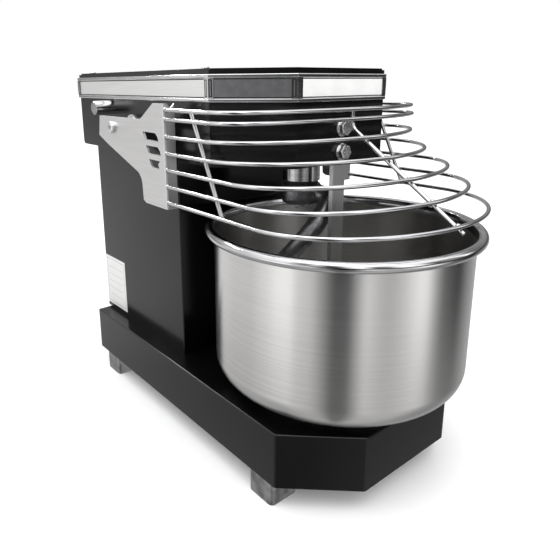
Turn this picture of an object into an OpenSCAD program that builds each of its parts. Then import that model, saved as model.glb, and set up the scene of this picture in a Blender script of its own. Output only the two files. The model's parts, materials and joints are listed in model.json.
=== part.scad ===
// Bench-top spiral dough mixer: a folded sheet body on cast feet, a bowl that turns on a
// driven disc, a spiral hook beside a fixed breaker bar, and a wire guard that lifts over
// the head. X is across the machine, Y runs from the bowl (front, minus) to the rear and
// Z is up from the table. The origin is on the table, under the middle of the machine.

/* [Overall] */
// Length from the bowl's front rim to the trim on the rear of the head
overall_l = 500; // [472:1:622]
// Thickness of the folded body sheet
sheet_t = 2; // [1.5:0.5:3]
// Air left between parts that pass close by each other
gap = 0.3; // [0.2:0.05:0.5]

/* [Feet and base] */
// Height of a foot
foot_h = 24.5; // [16:0.5:35]
// Side of a foot's square top
foot_s = 34; // [28:1:42]
// Corner radius of a foot
foot_r = 5; // [2:0.5:10]
// Width of the base
base_w = 247; // [225:1:300]
// How far the base's front reaches ahead of the bowl's axis
base_nose = 94.5; // [88:0.5:120]
// Height of the base
base_h = 56; // [50:1:75]
// Width that a front corner cut takes off the base
base_cx = 61; // [30:1:75]
// Length that a front corner cut takes off the base
base_cy = 56; // [30:1:75]
// How far the base's rear stands in from the head's rear
base_inset = 29; // [10:1:45]

/* [Column] */
// Width of the column
column_w = 208; // [190:1:222]
// Height of the column
column_h = 228.7; // [215:0.1:300]
// How far the column's rear stands in from the head's rear
column_inset = 21; // [19:1:35]

/* [Head] */
// Width of the head
head_w = 226.5; // [222:0.5:260]
// How far the head's front reaches ahead of the spindle's axis
head_nose = 55; // [54:0.5:64]
// Height of the painted side of the head, below the metal band
head_h = 60; // [56:1:80]
// Width that a front corner cut takes off the head
head_cx = 52; // [30:1:60]
// Length that a front corner cut takes off the head
head_cy = 62.5; // [30:0.5:70]
// Height of the brushed band
band_h = 25.4; // [24:0.2:40]
// Thickness of a band panel
panel_t = 1.2; // [0.8:0.1:2]
// Height of a trim rail
rail_h = 3.6; // [2:0.2:5]
// How far a trim rail stands out from the painted side
rail_t = 2; // [1.4:0.1:3]
// Width of a vertical trim post
post_w = 5; // [3:0.5:8]
// Height of the lid above the band
lid_h = 5.2; // [3:0.1:10]
// Thickness of the steel plate in the floor of the head
plate_h = 6; // [4:1:8]
// Radius of the head's lower rear edge
head_r = 5; // [3:0.5:6]

/* [Bowl] */
// Diameter over the bowl's rolled rim
rim_d = 275; // [262:1:279]
// Outside diameter of the bowl's wall
bowl_d = 257; // [240:1:262]
// Height of the bowl, up to the middle of the rolled rim
bowl_h = 156; // [130:1:166]
// Room between the bowl's rim and the column
bowl_clear = 2; // [1.5:0.5:6]
// Thickness of the bowl's sheet
bowl_t = 1.2; // [0.8:0.1:2]
// Outside radius of the bowl's lower corner
bowl_r = 25; // [15:1:40]
// Diameter of the driven disc under the bowl
disc_d = 180; // [120:1:200]
// Thickness of the driven disc
disc_h = 8; // [6:0.5:12]

/* [Spiral hook] */
// Distance from the bowl's axis back to the spindle's axis
spindle_back = 58.5; // [54:0.5:66]
// Radius of the hook's centre line
hook_r = 32; // [26:0.5:33]
// Diameter of the hook's bar
hook_d = 20; // [14:0.5:22]
// Turn of the hook for each millimetre that it falls, in degrees
hook_twist = 1.5; // [1:0.1:2]
// Diameter of the hook's hub
hub_d = 42; // [38:1:46]
// Height of the hook's hub
hub_h = 22; // [20:1:28]
// Diameter of the spindle's collar
collar_d = 40; // [36:1:44]
// Length of the spindle's collar
collar_l = 23; // [15:1:30]
// Room left above the bowl's floor by the hook and the breaker bar
floor_gap = 4.3; // [3:0.1:8]

/* [Breaker bar] */
// Width of the breaker bar
bar_w = 17; // [12:0.5:24]
// Thickness of the breaker bar
bar_t = 5; // [3:0.5:6]
// Distance between the breaker bar's bolts
bar_pitch = 23.3; // [20:0.1:28]

/* [Guard] */
// Width over the guard's side plates
guard_w = 276; // [266:1:300]
// Thickness of a side plate
plate_t = 2; // [1.5:0.5:3]
// Diameter of a guard wire
wire_d = 4; // [3:0.5:5]
// Width of the inward flange on a side plate
flange_w = 12.5; // [9:0.5:14]
// Distance from the pivot forward to the face of the flange
reach = 111; // [100:1:120]
// Height of the pivot above the head's underside
pivot_up = 30.6; // [28:0.1:34]
// Distance from the head's rear to the pivot
pivot_in = 142.5; // [135:0.5:150]
// Diameter of a stop rod
rod_d = 16; // [10:0.5:17]

/* [Drive] */
// Pitch of the two chains
chain_p = 8; // [6:0.5:8]
// Teeth on the bowl's sprocket
bowl_teeth = 60; // [48:1:60]
// Teeth on the layshaft's lower sprocket
low_teeth = 10; // [9:1:11]
// Teeth on the spindle's sprocket
spindle_teeth = 24; // [18:1:26]
// Teeth on the layshaft's upper sprocket
up_teeth = 12; // [10:1:13]
// Radius of the large belt pulley
pulley_r = 70; // [60:1:72]
// Radius of the motor's belt pulley
motor_pulley_r = 20; // [16:1:22]
// Width of the belt
belt_w = 12; // [8:1:14]
// Radius of the motor's body
motor_r = 52; // [45:1:54]
// Height of the motor's body
motor_h = 150; // [110:1:160]

/* [Hidden] */
$fn = 64;
eps = 0.01;
fit = 0.05;
paint = [0.06, 0.06, 0.065];
steel = [0.75, 0.75, 0.77];
bright = [0.86, 0.86, 0.88];
cast = [0.22, 0.22, 0.23];
alloy = [0.66, 0.67, 0.68];
rubber = [0.05, 0.05, 0.05];

// Heights, from the table up
base_z = foot_h;
deck_z = base_z + base_h;
head_z = deck_z + column_h;
plate_z = head_z + sheet_t;
plate_top = plate_z + plate_h;
band_z = head_z + head_h;
band_top = band_z + band_h;
lid_top = band_top + lid_h;

// Places along the machine
bowl_y = -overall_l / 2 + rim_d / 2;
spindle_y = bowl_y + spindle_back;
rear_y = overall_l / 2 - rail_t;
head_y = spindle_y - head_nose;
head_l = rear_y - head_y;
column_rear = rear_y - column_inset;
column_y = bowl_y + rim_d / 2 + bowl_clear;
column_l = column_rear - column_y;
base_rear = rear_y - base_inset;
base_y = bowl_y - base_nose;
base_l = base_rear - base_y;
pivot_y = rear_y - pivot_in;
pivot_z = head_z + pivot_up;

// Bowl
disc_gap = 2;
disc_z = deck_z + disc_gap;
bowl_z = disc_z + disc_h;
rim_z = bowl_z + bowl_h;
bead_r = (rim_d - bowl_d) / 4 + 0.4;
floor_z = bowl_z + bowl_t;

// Spiral hook
spindle_r = 10;
spigot_r = 12;
neck_h = 2.7;
collar_top = head_z - gap;
collar_z = collar_top - collar_l;
hub_top = collar_z - neck_h;
hub_z = hub_top - hub_h;
arm_z = hub_z + hook_d / 2 + 0.4;
arm_start = 14;
arm_fall = 6;
arm_angle = -59;
arm_turn = 12;
helix_z = arm_z - arm_fall;
helix_end = floor_z + floor_gap + hook_d / 2;

// Breaker bar
bar_y = head_y + sheet_t;
bar_top = head_z + 46;
bolt_z = head_z + 34.5;
bolt_r = 4;
bolt_af = 13;
bolt_h = 5.3;
washer_r = 8.5;
washer_h = 1.6;

// Guard
pin_r = 5;
bush_r = 9;
pin_head = 4;
guard_x = guard_w / 2;
side_gap = guard_x - plate_t - head_w / 2;
flange_y = pivot_y - reach;
wire_x = guard_x - wire_d / 2;
wires = 7;
wire_step = 16.4;
wire_ahead = 25;
wire_top = head_z + 52.8;
// Wires 1 and 2 run level round the head; from wire 3 down each reaches further forward
function wire_z(k) = k == 0 ? wire_top : wire_top - 9 - wire_step * (k - 1);
function wire_front(k) = head_y - 17 - (k < 2 ? 0 : 16 + wire_ahead * (k - 2));
// Length of each wire's arch, from its front back to where its straight sides begin
wire_arch = [57, 53, 76.5, 96.5, 85.5, 88, 103];
rod_back = 49.2;
rod_up = 19.7;

// Drive
lay_x = 25;
lay_y = column_y + 54;
lay_r = 7.5;
motor_x = -30;
motor_y = column_rear - 62;
motor_shaft_r = 7;
tooth_h = 2.4;
chain_t = 3.2;
chain_h = 4;
top_chain_z = plate_top + 34.8;
low_chain_z = base_z + 19.5;
belt_z = plate_top + 48.8;
belt_t = 2.5;
rim_h = 1.5;
lay_top = belt_z + belt_w + 8;
spindle_top = top_chain_z + chain_h + 5;
housing_h = 32;
shaft_r = 12.5;
bowl_housing_h = 26;
race_h = 12;
flange_h = 8;
function pitch_r(n) = chain_p / (2 * sin(180 / n));

// Switches
switch_y = (column_y + column_rear) / 2;
switch_z = deck_z + 154.5;
button_pitch = 40;
button_r = 9;
button_travel = 3;
cap_out = 8;

// Plan outline of a box whose two front corners are cut, grown outwards by d
function plan(w, l, cx, cy, d = 0) =
  let (h = norm([cx, cy]), x = w / 2 + d, y = cy + d * (cy - h) / cx,
       xf = w / 2 - cx - d * (cx - h) / cy)
  [[-x, l + d], [-x, y], [-xf, -d], [xf, -d], [x, y], [x, l + d]];

module base_plan(d = 0) { translate([0, base_y]) polygon(plan(base_w, base_l, base_cx, base_cy, d)); }
module head_plan(d = 0) { translate([0, head_y]) polygon(plan(head_w, head_l, head_cx, head_cy, d)); }

// Solid between two heights
module slab(z0, z1) { translate([0, 0, z0]) linear_extrude(z1 - z0) children(); }

// Upright cylinder, and a bar lying along X or Y
module post(x, y, z0, z1, r) { translate([x, y, z0]) cylinder(h = z1 - z0, r = r); }
module bar_along_x(x0, x1, y, z, r) { translate([x0, y, z]) rotate([0, 90, 0]) cylinder(h = x1 - x0, r = r); }
module bar_along_y(y0, y1, x, z, r) {
  translate([x, y0, z]) rotate([-90, 0, 0]) cylinder(h = y1 - y0, r = r);
}
module block(x0, x1, y0, y1, z0, z1) { translate([x0, y0, z0]) cube([x1 - x0, y1 - y0, z1 - z0]); }

// Straight rod between two points
module rod(a, b, r) {
  v = b - a;
  l = norm(v);
  translate(a) rotate([0, acos(v[2] / l), atan2(v[1], v[0])]) cylinder(h = l, r = r);
}

// Tube swept along a path: one ring at each point, square to the way the path runs there
function unit(v) = v / norm(v);
function heading(p, i) = unit(p[min(i + 1, len(p) - 1)] - p[max(i - 1, 0)]);
function ring(c, t, r, n) =
  let (u = unit(cross([0, 0, 1], t)), v = cross(t, u))
  [for (j = [0 : n - 1]) c + r * (cos(360 * j / n) * u + sin(360 * j / n) * v)];
module sweep(p, radii, n) {
  m = len(p);
  points = [for (i = [0 : m - 1]) each ring(p[i], heading(p, i), radii[i], n)];
  sides = [for (i = [0 : m - 2], j = [0 : n - 1], half = [0, 1])
    let (a = i * n + j, b = i * n + (j + 1) % n) half == 0 ? [a, a + n, b] : [b, a + n, b + n]];
  ends = [[for (j = [0 : n - 1]) j], [for (j = [n - 1 : -1 : 0]) (m - 1) * n + j]];
  polyhedron(points, concat(ends, sides));
}

// Outline of a belt or chain run over two wheels
function loop(c1, r1, c2, r2, n = 24) =
  let (v = c2 - c1, b = atan2(v[1], v[0]), a = acos((r1 - r2) / norm(v)))
  concat([for (i = [0 : n]) c2 + r2 * [cos(b - a + 2 * a * i / n), sin(b - a + 2 * a * i / n)]],
         [for (i = [0 : n]) let (t = b + a + (360 - 2 * a) * i / n) c1 + r1 * [cos(t), sin(t)]]);
module run(c1, r1, c2, r2, t, z, h) {
  slab(z, z + h) difference() {
    polygon(loop(c1, r1 + t, c2, r2 + t));
    polygon(loop(c1, r1, c2, r2));
  }
}

// Chain wheel with n teeth
module sprocket(x, y, z, n, bore) {
  r = pitch_r(n);
  step = 360 / n;
  outline = [
    for (i = [0 : n - 1],
      q = [[-0.34, -tooth_h], [-0.14, tooth_h], [0.14, tooth_h], [0.34, -tooth_h]])
    (r + q[1]) * [cos(step * (i + q[0])), sin(step * (i + q[0]))]];
  translate([x, y, z]) difference() {
    linear_extrude(chain_h) polygon(outline);
    translate([0, 0, -1]) cylinder(h = chain_h + 2, r = bore);
  }
}

// Belt wheel with a rim on each side of the belt
module pulley(x, y, r, bore) {
  difference() {
    union() {
      post(x, y, belt_z - rim_h, belt_z + belt_w + rim_h, r);
      post(x, y, belt_z - rim_h, belt_z, r + belt_t);
      post(x, y, belt_z + belt_w, belt_z + belt_w + rim_h, r + belt_t);
    }
    post(x, y, belt_z - rim_h - 1, belt_z + belt_w + rim_h + 1, bore);
  }
}

// Deep-groove bearing, as one ring between its shaft and its seat
module bearing(x, y, z, r_out, r_shaft, h = race_h) {
  difference() {
    post(x, y, z, z + h, r_out);
    post(x, y, z - 1, z + h + 1, r_shaft + fit);
  }
}

// Hexagonal prism on an upright axis, by its width across flats
module hex(af, h) { cylinder(h = h, d = af / cos(30), $fn = 6); }

// Screw with its head above z = 0 and its shank below
module screw(d, l, head_d, head_h) {
  cylinder(h = head_h, d = head_d);
  translate([0, 0, -l]) cylinder(h = l + eps, d = d);
}

foot_x = base_w / 2 - foot_s / 2 - 0.6;
foot_ys = [base_y + base_cy + 4.2 + foot_s / 2, base_rear - 18.4 - foot_s / 2];
module at_feet() { for (x = [-foot_x, foot_x], y = foot_ys) translate([x, y, 0]) children(); }
foot_screw_d = 6;

// ---- Body of the machine ----

module base_shell() {
  color(paint) difference() {
    slab(base_z, deck_z) base_plan();
    slab(base_z - 1, deck_z - sheet_t) base_plan(-sheet_t);
    post(0, bowl_y, deck_z - 5, deck_z + 1, shaft_r + 2);
    at_housing(bowl_y, bowl_bolt_r) post(0, 0, deck_z - 5, deck_z + 1, housing_screw_d / 2 + 0.2);
    block(-column_w / 2 + 15, column_w / 2 - 15, column_y + 15, column_rear - 15, deck_z - 5, deck_z + 1);
  }
}

vents = 6;
vent_pitch = 14;
module bottom_plate() {
  color(paint) difference() {
    slab(base_z, base_z + sheet_t) base_plan(-sheet_t - gap);
    at_feet() post(0, 0, base_z - 1, base_z + sheet_t + 1, foot_screw_d / 2 + 0.2);
    for (i = [0 : vents - 1])
      translate([-40, motor_y - 50 + vent_pitch * i, base_z - 1]) cube([80, 5, sheet_t + 2]);
  }
}

module rounded_square(s, h, r) {
  translate([-s / 2 + r, -s / 2, 0]) cube([s - 2 * r, s, h]);
  translate([-s / 2, -s / 2 + r, 0]) cube([s, s - 2 * r, h]);
  for (x = [-1, 1], y = [-1, 1]) translate([x * (s / 2 - r), y * (s / 2 - r), 0]) cylinder(h = h, r = r);
}

module feet() {
  color(alloy) at_feet() difference() {
    rounded_square(foot_s, foot_h, foot_r);
    translate([0, 0, -1]) cylinder(h = foot_h + 2, d = foot_screw_d + 0.4);
    translate([0, 0, -1]) cylinder(h = 10, d = 13);
  }
}

module foot_screws() {
  color(steel) at_feet() {
    translate([0, 0, 9]) mirror([0, 0, 1]) screw(foot_screw_d, foot_h + sheet_t, 11, 5);
    translate([0, 0, base_z + sheet_t]) cylinder(h = 5, d = 11);
  }
}

access_in = 19;
module column_shell() {
  color(paint) difference() {
    block(-column_w / 2, column_w / 2, column_y, column_rear, deck_z, head_z);
    block(-column_w / 2 + sheet_t, column_w / 2 - sheet_t, column_y + sheet_t, column_rear - sheet_t,
          deck_z - 1, head_z + 1);
    block(-column_w / 2 + access_in, column_w / 2 - access_in, column_rear - sheet_t - 1, column_rear + 1,
          deck_z + 22, head_z - 15);
    for (s = [-0.5, 0.5])
       bar_along_x(column_w / 2 - sheet_t - 1, column_w / 2 + 1,
         switch_y, switch_z + s * button_pitch, button_r + 1);
    at_cover_screws() bar_along_y(-sheet_t - 1, 1, 0, 0, 2.2);
  }
}

cover_t = 1.5;
cover_lap = 11;
module at_cover_screws() {
  for (x = [-1, 1], z = [0, 0.5, 1])
    translate([x * (column_w / 2 - access_in + cover_lap / 2), column_rear,
               deck_z + 22 - cover_lap / 2 + z * (column_h - 37 + cover_lap)]) children();
}
module rear_cover() {
  color(paint) difference() {
    block(-column_w / 2 + access_in - cover_lap, column_w / 2 - access_in + cover_lap, column_rear,
          column_rear + cover_t, deck_z + 22 - cover_lap, head_z - 15 + cover_lap);
    for (i = [0 : 7], x = [-1, 1])
      translate([x * 34 - 26, column_rear - 1, deck_z + 95 + 12 * i]) cube([52, cover_t + 2, 4.5]);
    at_cover_screws() bar_along_y(-1, cover_t + 1, 0, 0, 2.2);
    bar_along_y(column_rear - 1, column_rear + cover_t + 1, gland_x, gland_z, gland_r + 0.2);
  }
}
module cover_screws() {
  color(steel) at_cover_screws() translate([0, cover_t, 0]) rotate([-90, 0, 0]) screw(4, 8, 8, 2.4);
}

gland_x = -60;
gland_z = deck_z + 40;
gland_r = 8;
module cable_gland() {
  y0 = column_rear + cover_t;
  color(rubber) difference() {
    union() {
      bar_along_y(column_rear - 6, y0 + 15, gland_x, gland_z, gland_r);
      translate([gland_x, y0, gland_z]) rotate([-90, 0, 0]) hex(20, 5);
      bar_along_y(y0 + 7, y0 + 15, gland_x, gland_z, 9.5);
      translate([gland_x, column_rear - 5, gland_z]) rotate([-90, 0, 0]) hex(20, 5);
    }
    bar_along_y(column_rear - 7, y0 + 16, gland_x, gland_z, 4.5);
  }
}

slot_y = 3;
nut_room = 10;
module floor_holes(z0, z1, behind_bar) {
  post(0, spindle_y, z0, z1, spigot_r + 2);
  post(lay_x, lay_y, z0, z1, lay_r + 2);
  block(-bar_w / 2 - 0.5, bar_w / 2 + 0.5, bar_y, bar_y + bar_t + behind_bar, z0, z1);
}

module head_shell() {
  color(paint) difference() {
    slab(head_z, band_top) head_plan();
    slab(plate_z, band_top + 1) head_plan(-sheet_t);
    floor_holes(head_z - 1, plate_z + 1, slot_y);
    block(-column_w / 2 + 6, column_w / 2 - 6, column_y + 6, column_rear - 6, head_z - 1, plate_z + 1);
    difference() {
      block(-head_w, head_w, rear_y - head_r, rear_y + 1, head_z - 1, head_z + head_r);
      bar_along_x(-head_w - 1, head_w + 1, rear_y - head_r, head_z + head_r, head_r);
    }
    for (z = [0, 1]) bar_along_y(head_y - 1, head_y + 5, 0, bolt_z - z * bar_pitch, bolt_r + 0.2);
    for (s = [-1, 1]) scale([s, 1, 1]) {
      bar_along_x(head_w / 2 - 5, head_w / 2 + 1, pivot_y, pivot_z, bush_r + fit);
      bar_along_x(head_w / 2 - 5, head_w / 2 + 1, pivot_y + rod_back, pivot_z + rod_up, 4.2);
    }
  }
}

module head_plate() {
  color(steel) difference() {
    slab(plate_z, plate_top) head_plan(-sheet_t - gap);
    floor_holes(plate_z - 1, plate_top + 1, nut_room);
    post(motor_x, motor_y, plate_z - 1, plate_top + 1, 25);
    at_motor_bolts() post(0, 0, plate_z - 1, plate_top + 1, 3.2);
    at_housing(spindle_y, spindle_bolt_r) post(0, 0, plate_z - 1, plate_top + 1, housing_screw_d / 2 + 0.2);
  }
}

module at_lid_screws() {
  for (x = [-1, 1], y = [head_y + head_cy + 20, rear_y - 20])
    translate([x * (head_w / 2 - 11), y, 0]) children();
}
lid_t = 1.5;
lid_in = 2.4;
module lid() {
  color(paint) difference() {
    union() {
      slab(band_top, lid_top - 1.6) head_plan(-0.2);
      slab(band_top, lid_top) head_plan(-lid_in);
    }
    slab(band_top - 1, lid_top - lid_t) head_plan(-lid_in - lid_t);
    at_lid_screws() post(0, 0, band_top - 1, lid_top + 1, 2.2);
  }
}
module lid_screws() {
  color(steel) at_lid_screws() {
    translate([0, 0, lid_top]) screw(4, 10, 7.5, 2);
    translate([0, 0, lid_top - lid_t - 3]) difference() {
      cylinder(h = 3, d = 8);
      translate([0, 0, -1]) cylinder(h = 5, d = 4);
    }
  }
}

// The band: five brushed panels between two trim rails, with a post over each joint
module band_ring(d0, d1, z0, z1) {
  slab(z0, z1) difference() {
    head_plan(d1);
    head_plan(d0);
  }
}
module panels() { band_ring(0, panel_t, band_z + rail_h, band_top - rail_h); }
panel_gap = 0.4;
module side_panels() {
  color(steel) intersection() {
    panels();
    for (s = [-1, 1]) translate([s * head_w / 2, 0, 0])
      block(-6, 6, head_y + head_cy + panel_gap, rear_y - panel_gap, band_z, band_top);
  }
}
module corner_panels() {
  color([0.5, 0.5, 0.52]) intersection() {
    panels();
    for (s = [-1, 1]) slab(band_z, band_top) corner_strip(s, panel_gap, 3);
  }
}
// Strip along a cut corner, ending a little short of both ends of its slanted face
module corner_strip(s, short, half) {
  a = [s * (head_w / 2), head_y + head_cy];
  b = [s * (head_w / 2 - head_cx), head_y];
  u = unit(b - a);
  n = s * [-u[1], u[0]];
  polygon([a + u * short - n * half, b - u * short - n * half,
           b - u * short + n * half, a + u * short + n * half]);
}
module front_panel() {
  color(steel) intersection() {
    panels();
    block(-head_w / 2 + head_cx + panel_gap, head_w / 2 - head_cx - panel_gap,
      head_y - 6, head_y + 6, band_z, band_top);
  }
}
module rear_panel() {
  color(steel) intersection() {
    panels();
    block(-head_w / 2 + panel_gap, head_w / 2 - panel_gap, rear_y, rear_y + 6, band_z, band_top);
  }
}
module trim_rails() {
  color(bright) {
    band_ring(0, rail_t, band_z, band_z + rail_h);
    band_ring(0, rail_t, band_top - rail_h, band_top);
  }
}
module trim_posts() {
  color(bright) slab(band_z + rail_h, band_top - rail_h) difference() {
    head_plan(rail_t);
    head_plan(panel_t);
    for (s = [-1, 1]) {
      translate([s * head_w / 2, 0]) square_from(-9, 9, head_y + head_cy + post_w, rear_y - post_w);
      corner_strip(s, post_w, 6);
    }
    square_from(-head_w / 2 + head_cx + post_w, head_w / 2 - head_cx - post_w, head_y - 9, head_y + 9);
    square_from(-head_w / 2 + post_w, head_w / 2 - post_w, rear_y - 9, rear_y + 9);
  }
}
module square_from(x0, x1, y0, y1) { translate([x0, y0]) square([x1 - x0, y1 - y0]); }

rating_t = 0.3;
module rating_plate() {
  color("white")
    block(-column_w / 2 - rating_t, -column_w / 2,
      column_rear - 58.5, column_rear - 1.7, deck_z + 5.5, deck_z + 76);
}

rod_thread = 4;
module stop_rods() {
  color(bright) for (s = [-1, 1]) scale([s, 1, 1]) {
    bar_along_x(head_w / 2, guard_x - 0.5, pivot_y + rod_back, pivot_z + rod_up, rod_d / 2);
    bar_along_x(head_w / 2 - 10, head_w / 2 + eps, pivot_y + rod_back, pivot_z + rod_up, rod_thread);
    bar_along_x(head_w / 2 - sheet_t - 5, head_w / 2 - sheet_t, pivot_y + rod_back, pivot_z + rod_up, 7.5);
  }
}

module pivot_bushes() {
  color(steel) for (s = [-1, 1]) scale([s, 1, 1]) difference() {
    union() {
      bar_along_x(head_w / 2 - 8, guard_x - plate_t - gap, pivot_y, pivot_z, bush_r);
      bar_along_x(head_w / 2, head_w / 2 + 2, pivot_y, pivot_z, bush_r + 4);
      bar_along_x(head_w / 2 - sheet_t - 5, head_w / 2 - sheet_t, pivot_y, pivot_z, bush_r + 4);
    }
    bar_along_x(head_w / 2 - 9, guard_x, pivot_y, pivot_z, pin_r + fit);
  }
}

// ---- Breaker bar ----

module breaker_bar() {
  color(steel) difference() {
    block(-bar_w / 2, bar_w / 2, bar_y, bar_y + bar_t, floor_z + floor_gap, bar_top);
    for (z = [0, 1]) bar_along_y(bar_y - 1, bar_y + bar_t + 1, 0, bolt_z - z * bar_pitch, bolt_r + 0.2);
  }
}
module breaker_bolts() {
  color(bright) for (z = [0, 1]) translate([0, head_y, bolt_z - z * bar_pitch]) {
    bar_along_y(-washer_h, 0, 0, 0, washer_r);
    translate([0, -washer_h - bolt_h, 0]) rotate([-90, 0, 0]) hex(bolt_af, bolt_h + eps);
    bar_along_y(-washer_h - eps, sheet_t + bar_t + 7.5, 0, 0, bolt_r);
    translate([0, sheet_t + bar_t, 0]) rotate([-90, 0, 0]) hex(bolt_af, 6.5);
  }
}

// ---- Bearings and housings ----

spindle_seat_r = 21;
spindle_bolt_r = 33.5;
housing_r = 28;
housing_screw_d = 6;
bowl_seat_r = 23.5;
bowl_bolt_r = 40;
lip = 2;
module at_housing(y, r) { for (a = [45 : 90 : 315]) translate([r * cos(a), y + r * sin(a), 0]) children(); }

module spindle_housing() {
  color(cast) difference() {
    union() {
      post(0, spindle_y, plate_top, plate_top + housing_h, housing_r);
      post(0, spindle_y, plate_top, plate_top + flange_h, spindle_bolt_r + 6);
    }
    post(0, spindle_y, plate_top - 1, plate_top + housing_h + 1, spindle_r + 4);
    post(0, spindle_y, plate_top + lip, plate_top + housing_h + 1, spindle_seat_r);
    at_housing(spindle_y, spindle_bolt_r)
      post(0, 0, plate_top - 1, plate_top + flange_h + 1, housing_screw_d / 2 + 0.2);
  }
}
module spindle_bearings() {
  color(steel) {
    bearing(0, spindle_y, plate_top + lip, spindle_seat_r, spindle_r);
    bearing(0, spindle_y, plate_top + housing_h - race_h, spindle_seat_r, spindle_r);
  }
}
deck_in = deck_z - sheet_t;
module bowl_housing() {
  color(cast) difference() {
    union() {
      post(0, bowl_y, deck_in - bowl_housing_h, deck_in, housing_r + 2);
      post(0, bowl_y, deck_in - flange_h, deck_in, bowl_bolt_r + 8);
    }
    post(0, bowl_y, deck_in - bowl_housing_h - 1, deck_in + 1, shaft_r + 4);
    post(0, bowl_y, deck_in - bowl_housing_h - 1, deck_in - lip, bowl_seat_r);
    at_housing(bowl_y, bowl_bolt_r)
      post(0, 0, deck_in - flange_h - 1, deck_in + 1, housing_screw_d / 2 + 0.2);
  }
}
module bowl_bearings() {
  color(steel) {
    bearing(0, bowl_y, deck_in - lip - race_h, bowl_seat_r, shaft_r);
    bearing(0, bowl_y, deck_in - bowl_housing_h, bowl_seat_r, shaft_r, bowl_housing_h - lip - race_h);
  }
}
// Flanged units that carry the upright layshaft in the head's plate and on the bottom plate
lay_flange_r = 24;
lay_unit_h = 13;
module layshaft_bearings() {
  color(cast) for (z = [plate_top, base_z + sheet_t]) difference() {
    union() {
      post(lay_x, lay_y, z, z + 5, lay_flange_r);
      post(lay_x, lay_y, z, z + lay_unit_h, 17);
    }
    post(lay_x, lay_y, z == plate_top ? z - 1 : z + 2, z + lay_unit_h + 1, lay_r + fit);
  }
}
module housing_bolts() {
  color(steel) {
    at_housing(spindle_y, spindle_bolt_r) translate([0, 0, plate_top + flange_h])
      screw(housing_screw_d, flange_h + plate_h, 10, 4);
    at_housing(bowl_y, bowl_bolt_r) translate([0, 0, deck_in - flange_h]) mirror([0, 0, 1])
      screw(housing_screw_d, flange_h + sheet_t, 10, 4);
  }
}

// ---- Motor, belt and chains ----

motor_flange_r = 54;
motor_bolt_r = 47;
motor_top = plate_z;
fins = 28;
module at_motor_bolts() {
  for (a = [45 : 90 : 315])
    translate([motor_x + motor_bolt_r * cos(a), motor_y + motor_bolt_r * sin(a), 0]) children();
}
module motor_body() {
  z1 = motor_top - flange_h;
  color([0.35, 0.37, 0.4]) difference() {
    union() {
      post(motor_x, motor_y, z1 - motor_h, z1, motor_r - 5);
      post(motor_x, motor_y, z1, motor_top, motor_flange_r);
      for (i = [0 : fins - 1]) translate([motor_x, motor_y, z1 - motor_h + 24]) rotate([0, 0, 360 * i / fins])
        translate([motor_r - 7, -1.2, 0]) cube([7, 2.4, motor_h - 32]);
      post(motor_x, motor_y, z1 - motor_h, z1 - motor_h + 20, motor_r);
    }
    post(motor_x, motor_y, z1 - motor_h + 8, motor_top + 1, motor_shaft_r + 13);
    at_motor_bolts() post(0, 0, z1 - 1, motor_top + 1, 3.2);
  }
  color(steel) for (z = [z1 - motor_h + 8, motor_top - race_h])
    bearing(motor_x, motor_y, z, motor_shaft_r + 13, motor_shaft_r);
}
module motor_bolts() {
  color(steel) at_motor_bolts() translate([0, 0, plate_top]) screw(6, plate_h + flange_h - 1, 10, 4);
}
module motor_rotor() {
  z1 = motor_top - flange_h;
  color(steel) {
    post(motor_x, motor_y, z1 - motor_h + 9, belt_z + belt_w + 4, motor_shaft_r);
    post(motor_x, motor_y, z1 - motor_h + 26, motor_top - race_h - 6, motor_shaft_r + 10);
  }
}
module motor_pulley() { color(cast) pulley(motor_x, motor_y, motor_pulley_r, motor_shaft_r); }
module drive_belt() {
  color(rubber) run([lay_x, lay_y], pulley_r + gap, [motor_x, motor_y], motor_pulley_r + gap,
    belt_t, belt_z + gap,
                    belt_w - 2 * gap);
}
module spindle_chain() {
  color(cast) run([0, spindle_y], pitch_r(spindle_teeth) + tooth_h + gap, [lay_x, lay_y],
                  pitch_r(up_teeth) + tooth_h + gap, chain_t, top_chain_z, chain_h);
}
module bowl_chain() {
  color(cast) run([0, bowl_y], pitch_r(bowl_teeth) + tooth_h + gap, [lay_x, lay_y],
                  pitch_r(low_teeth) + tooth_h + gap, chain_t, low_chain_z, chain_h);
}

// ---- Electrical parts ----

cap_r = 17;
module capacitor() {
  color(alloy) post(column_w / 2 - sheet_t - cap_r - 0.1, motor_y + 20, deck_z + 60, deck_z + 130, cap_r);
}
switch_w = 44;
switch_h = 84;
module switch_plate() {
  x0 = column_w / 2;
  color(steel) difference() {
    block(x0, x0 + 2, switch_y - switch_w / 2, switch_y + switch_w / 2,
      switch_z - switch_h / 2, switch_z + switch_h / 2);
    for (s = [-0.5, 0.5]) bar_along_x(x0 - 1, x0 + 3, switch_y, switch_z + s * button_pitch, button_r + gap);
  }
}
stem_r = 4;
stem_in = 12;
module contact_block() {
  x1 = column_w / 2 - sheet_t;
  color(rubber) difference() {
    block(x1 - 22, x1, switch_y - 16, switch_y + 16, switch_z - 36, switch_z + 36);
    for (s = [-0.5, 0.5]) {
      bar_along_x(x1 - 18, x1 + 1, switch_y, switch_z + s * button_pitch, stem_r + gap);
      bar_along_x(x1 - button_travel - 1.5, x1 + 1, switch_y, switch_z + s * button_pitch, button_r + 1);
    }
  }
}
module button(s, shade) {
  x0 = column_w / 2;
  z = switch_z + s * button_pitch;
  color(shade) {
    bar_along_x(x0 - 1, x0 + cap_out, switch_y, z, button_r);
    bar_along_x(x0 - stem_in, x0, switch_y, z, stem_r);
  }
}
module start_button() { button(0.5, [0.1, 0.55, 0.2]); }
module stop_button() { button(-0.5, [0.75, 0.08, 0.08]); }

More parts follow.
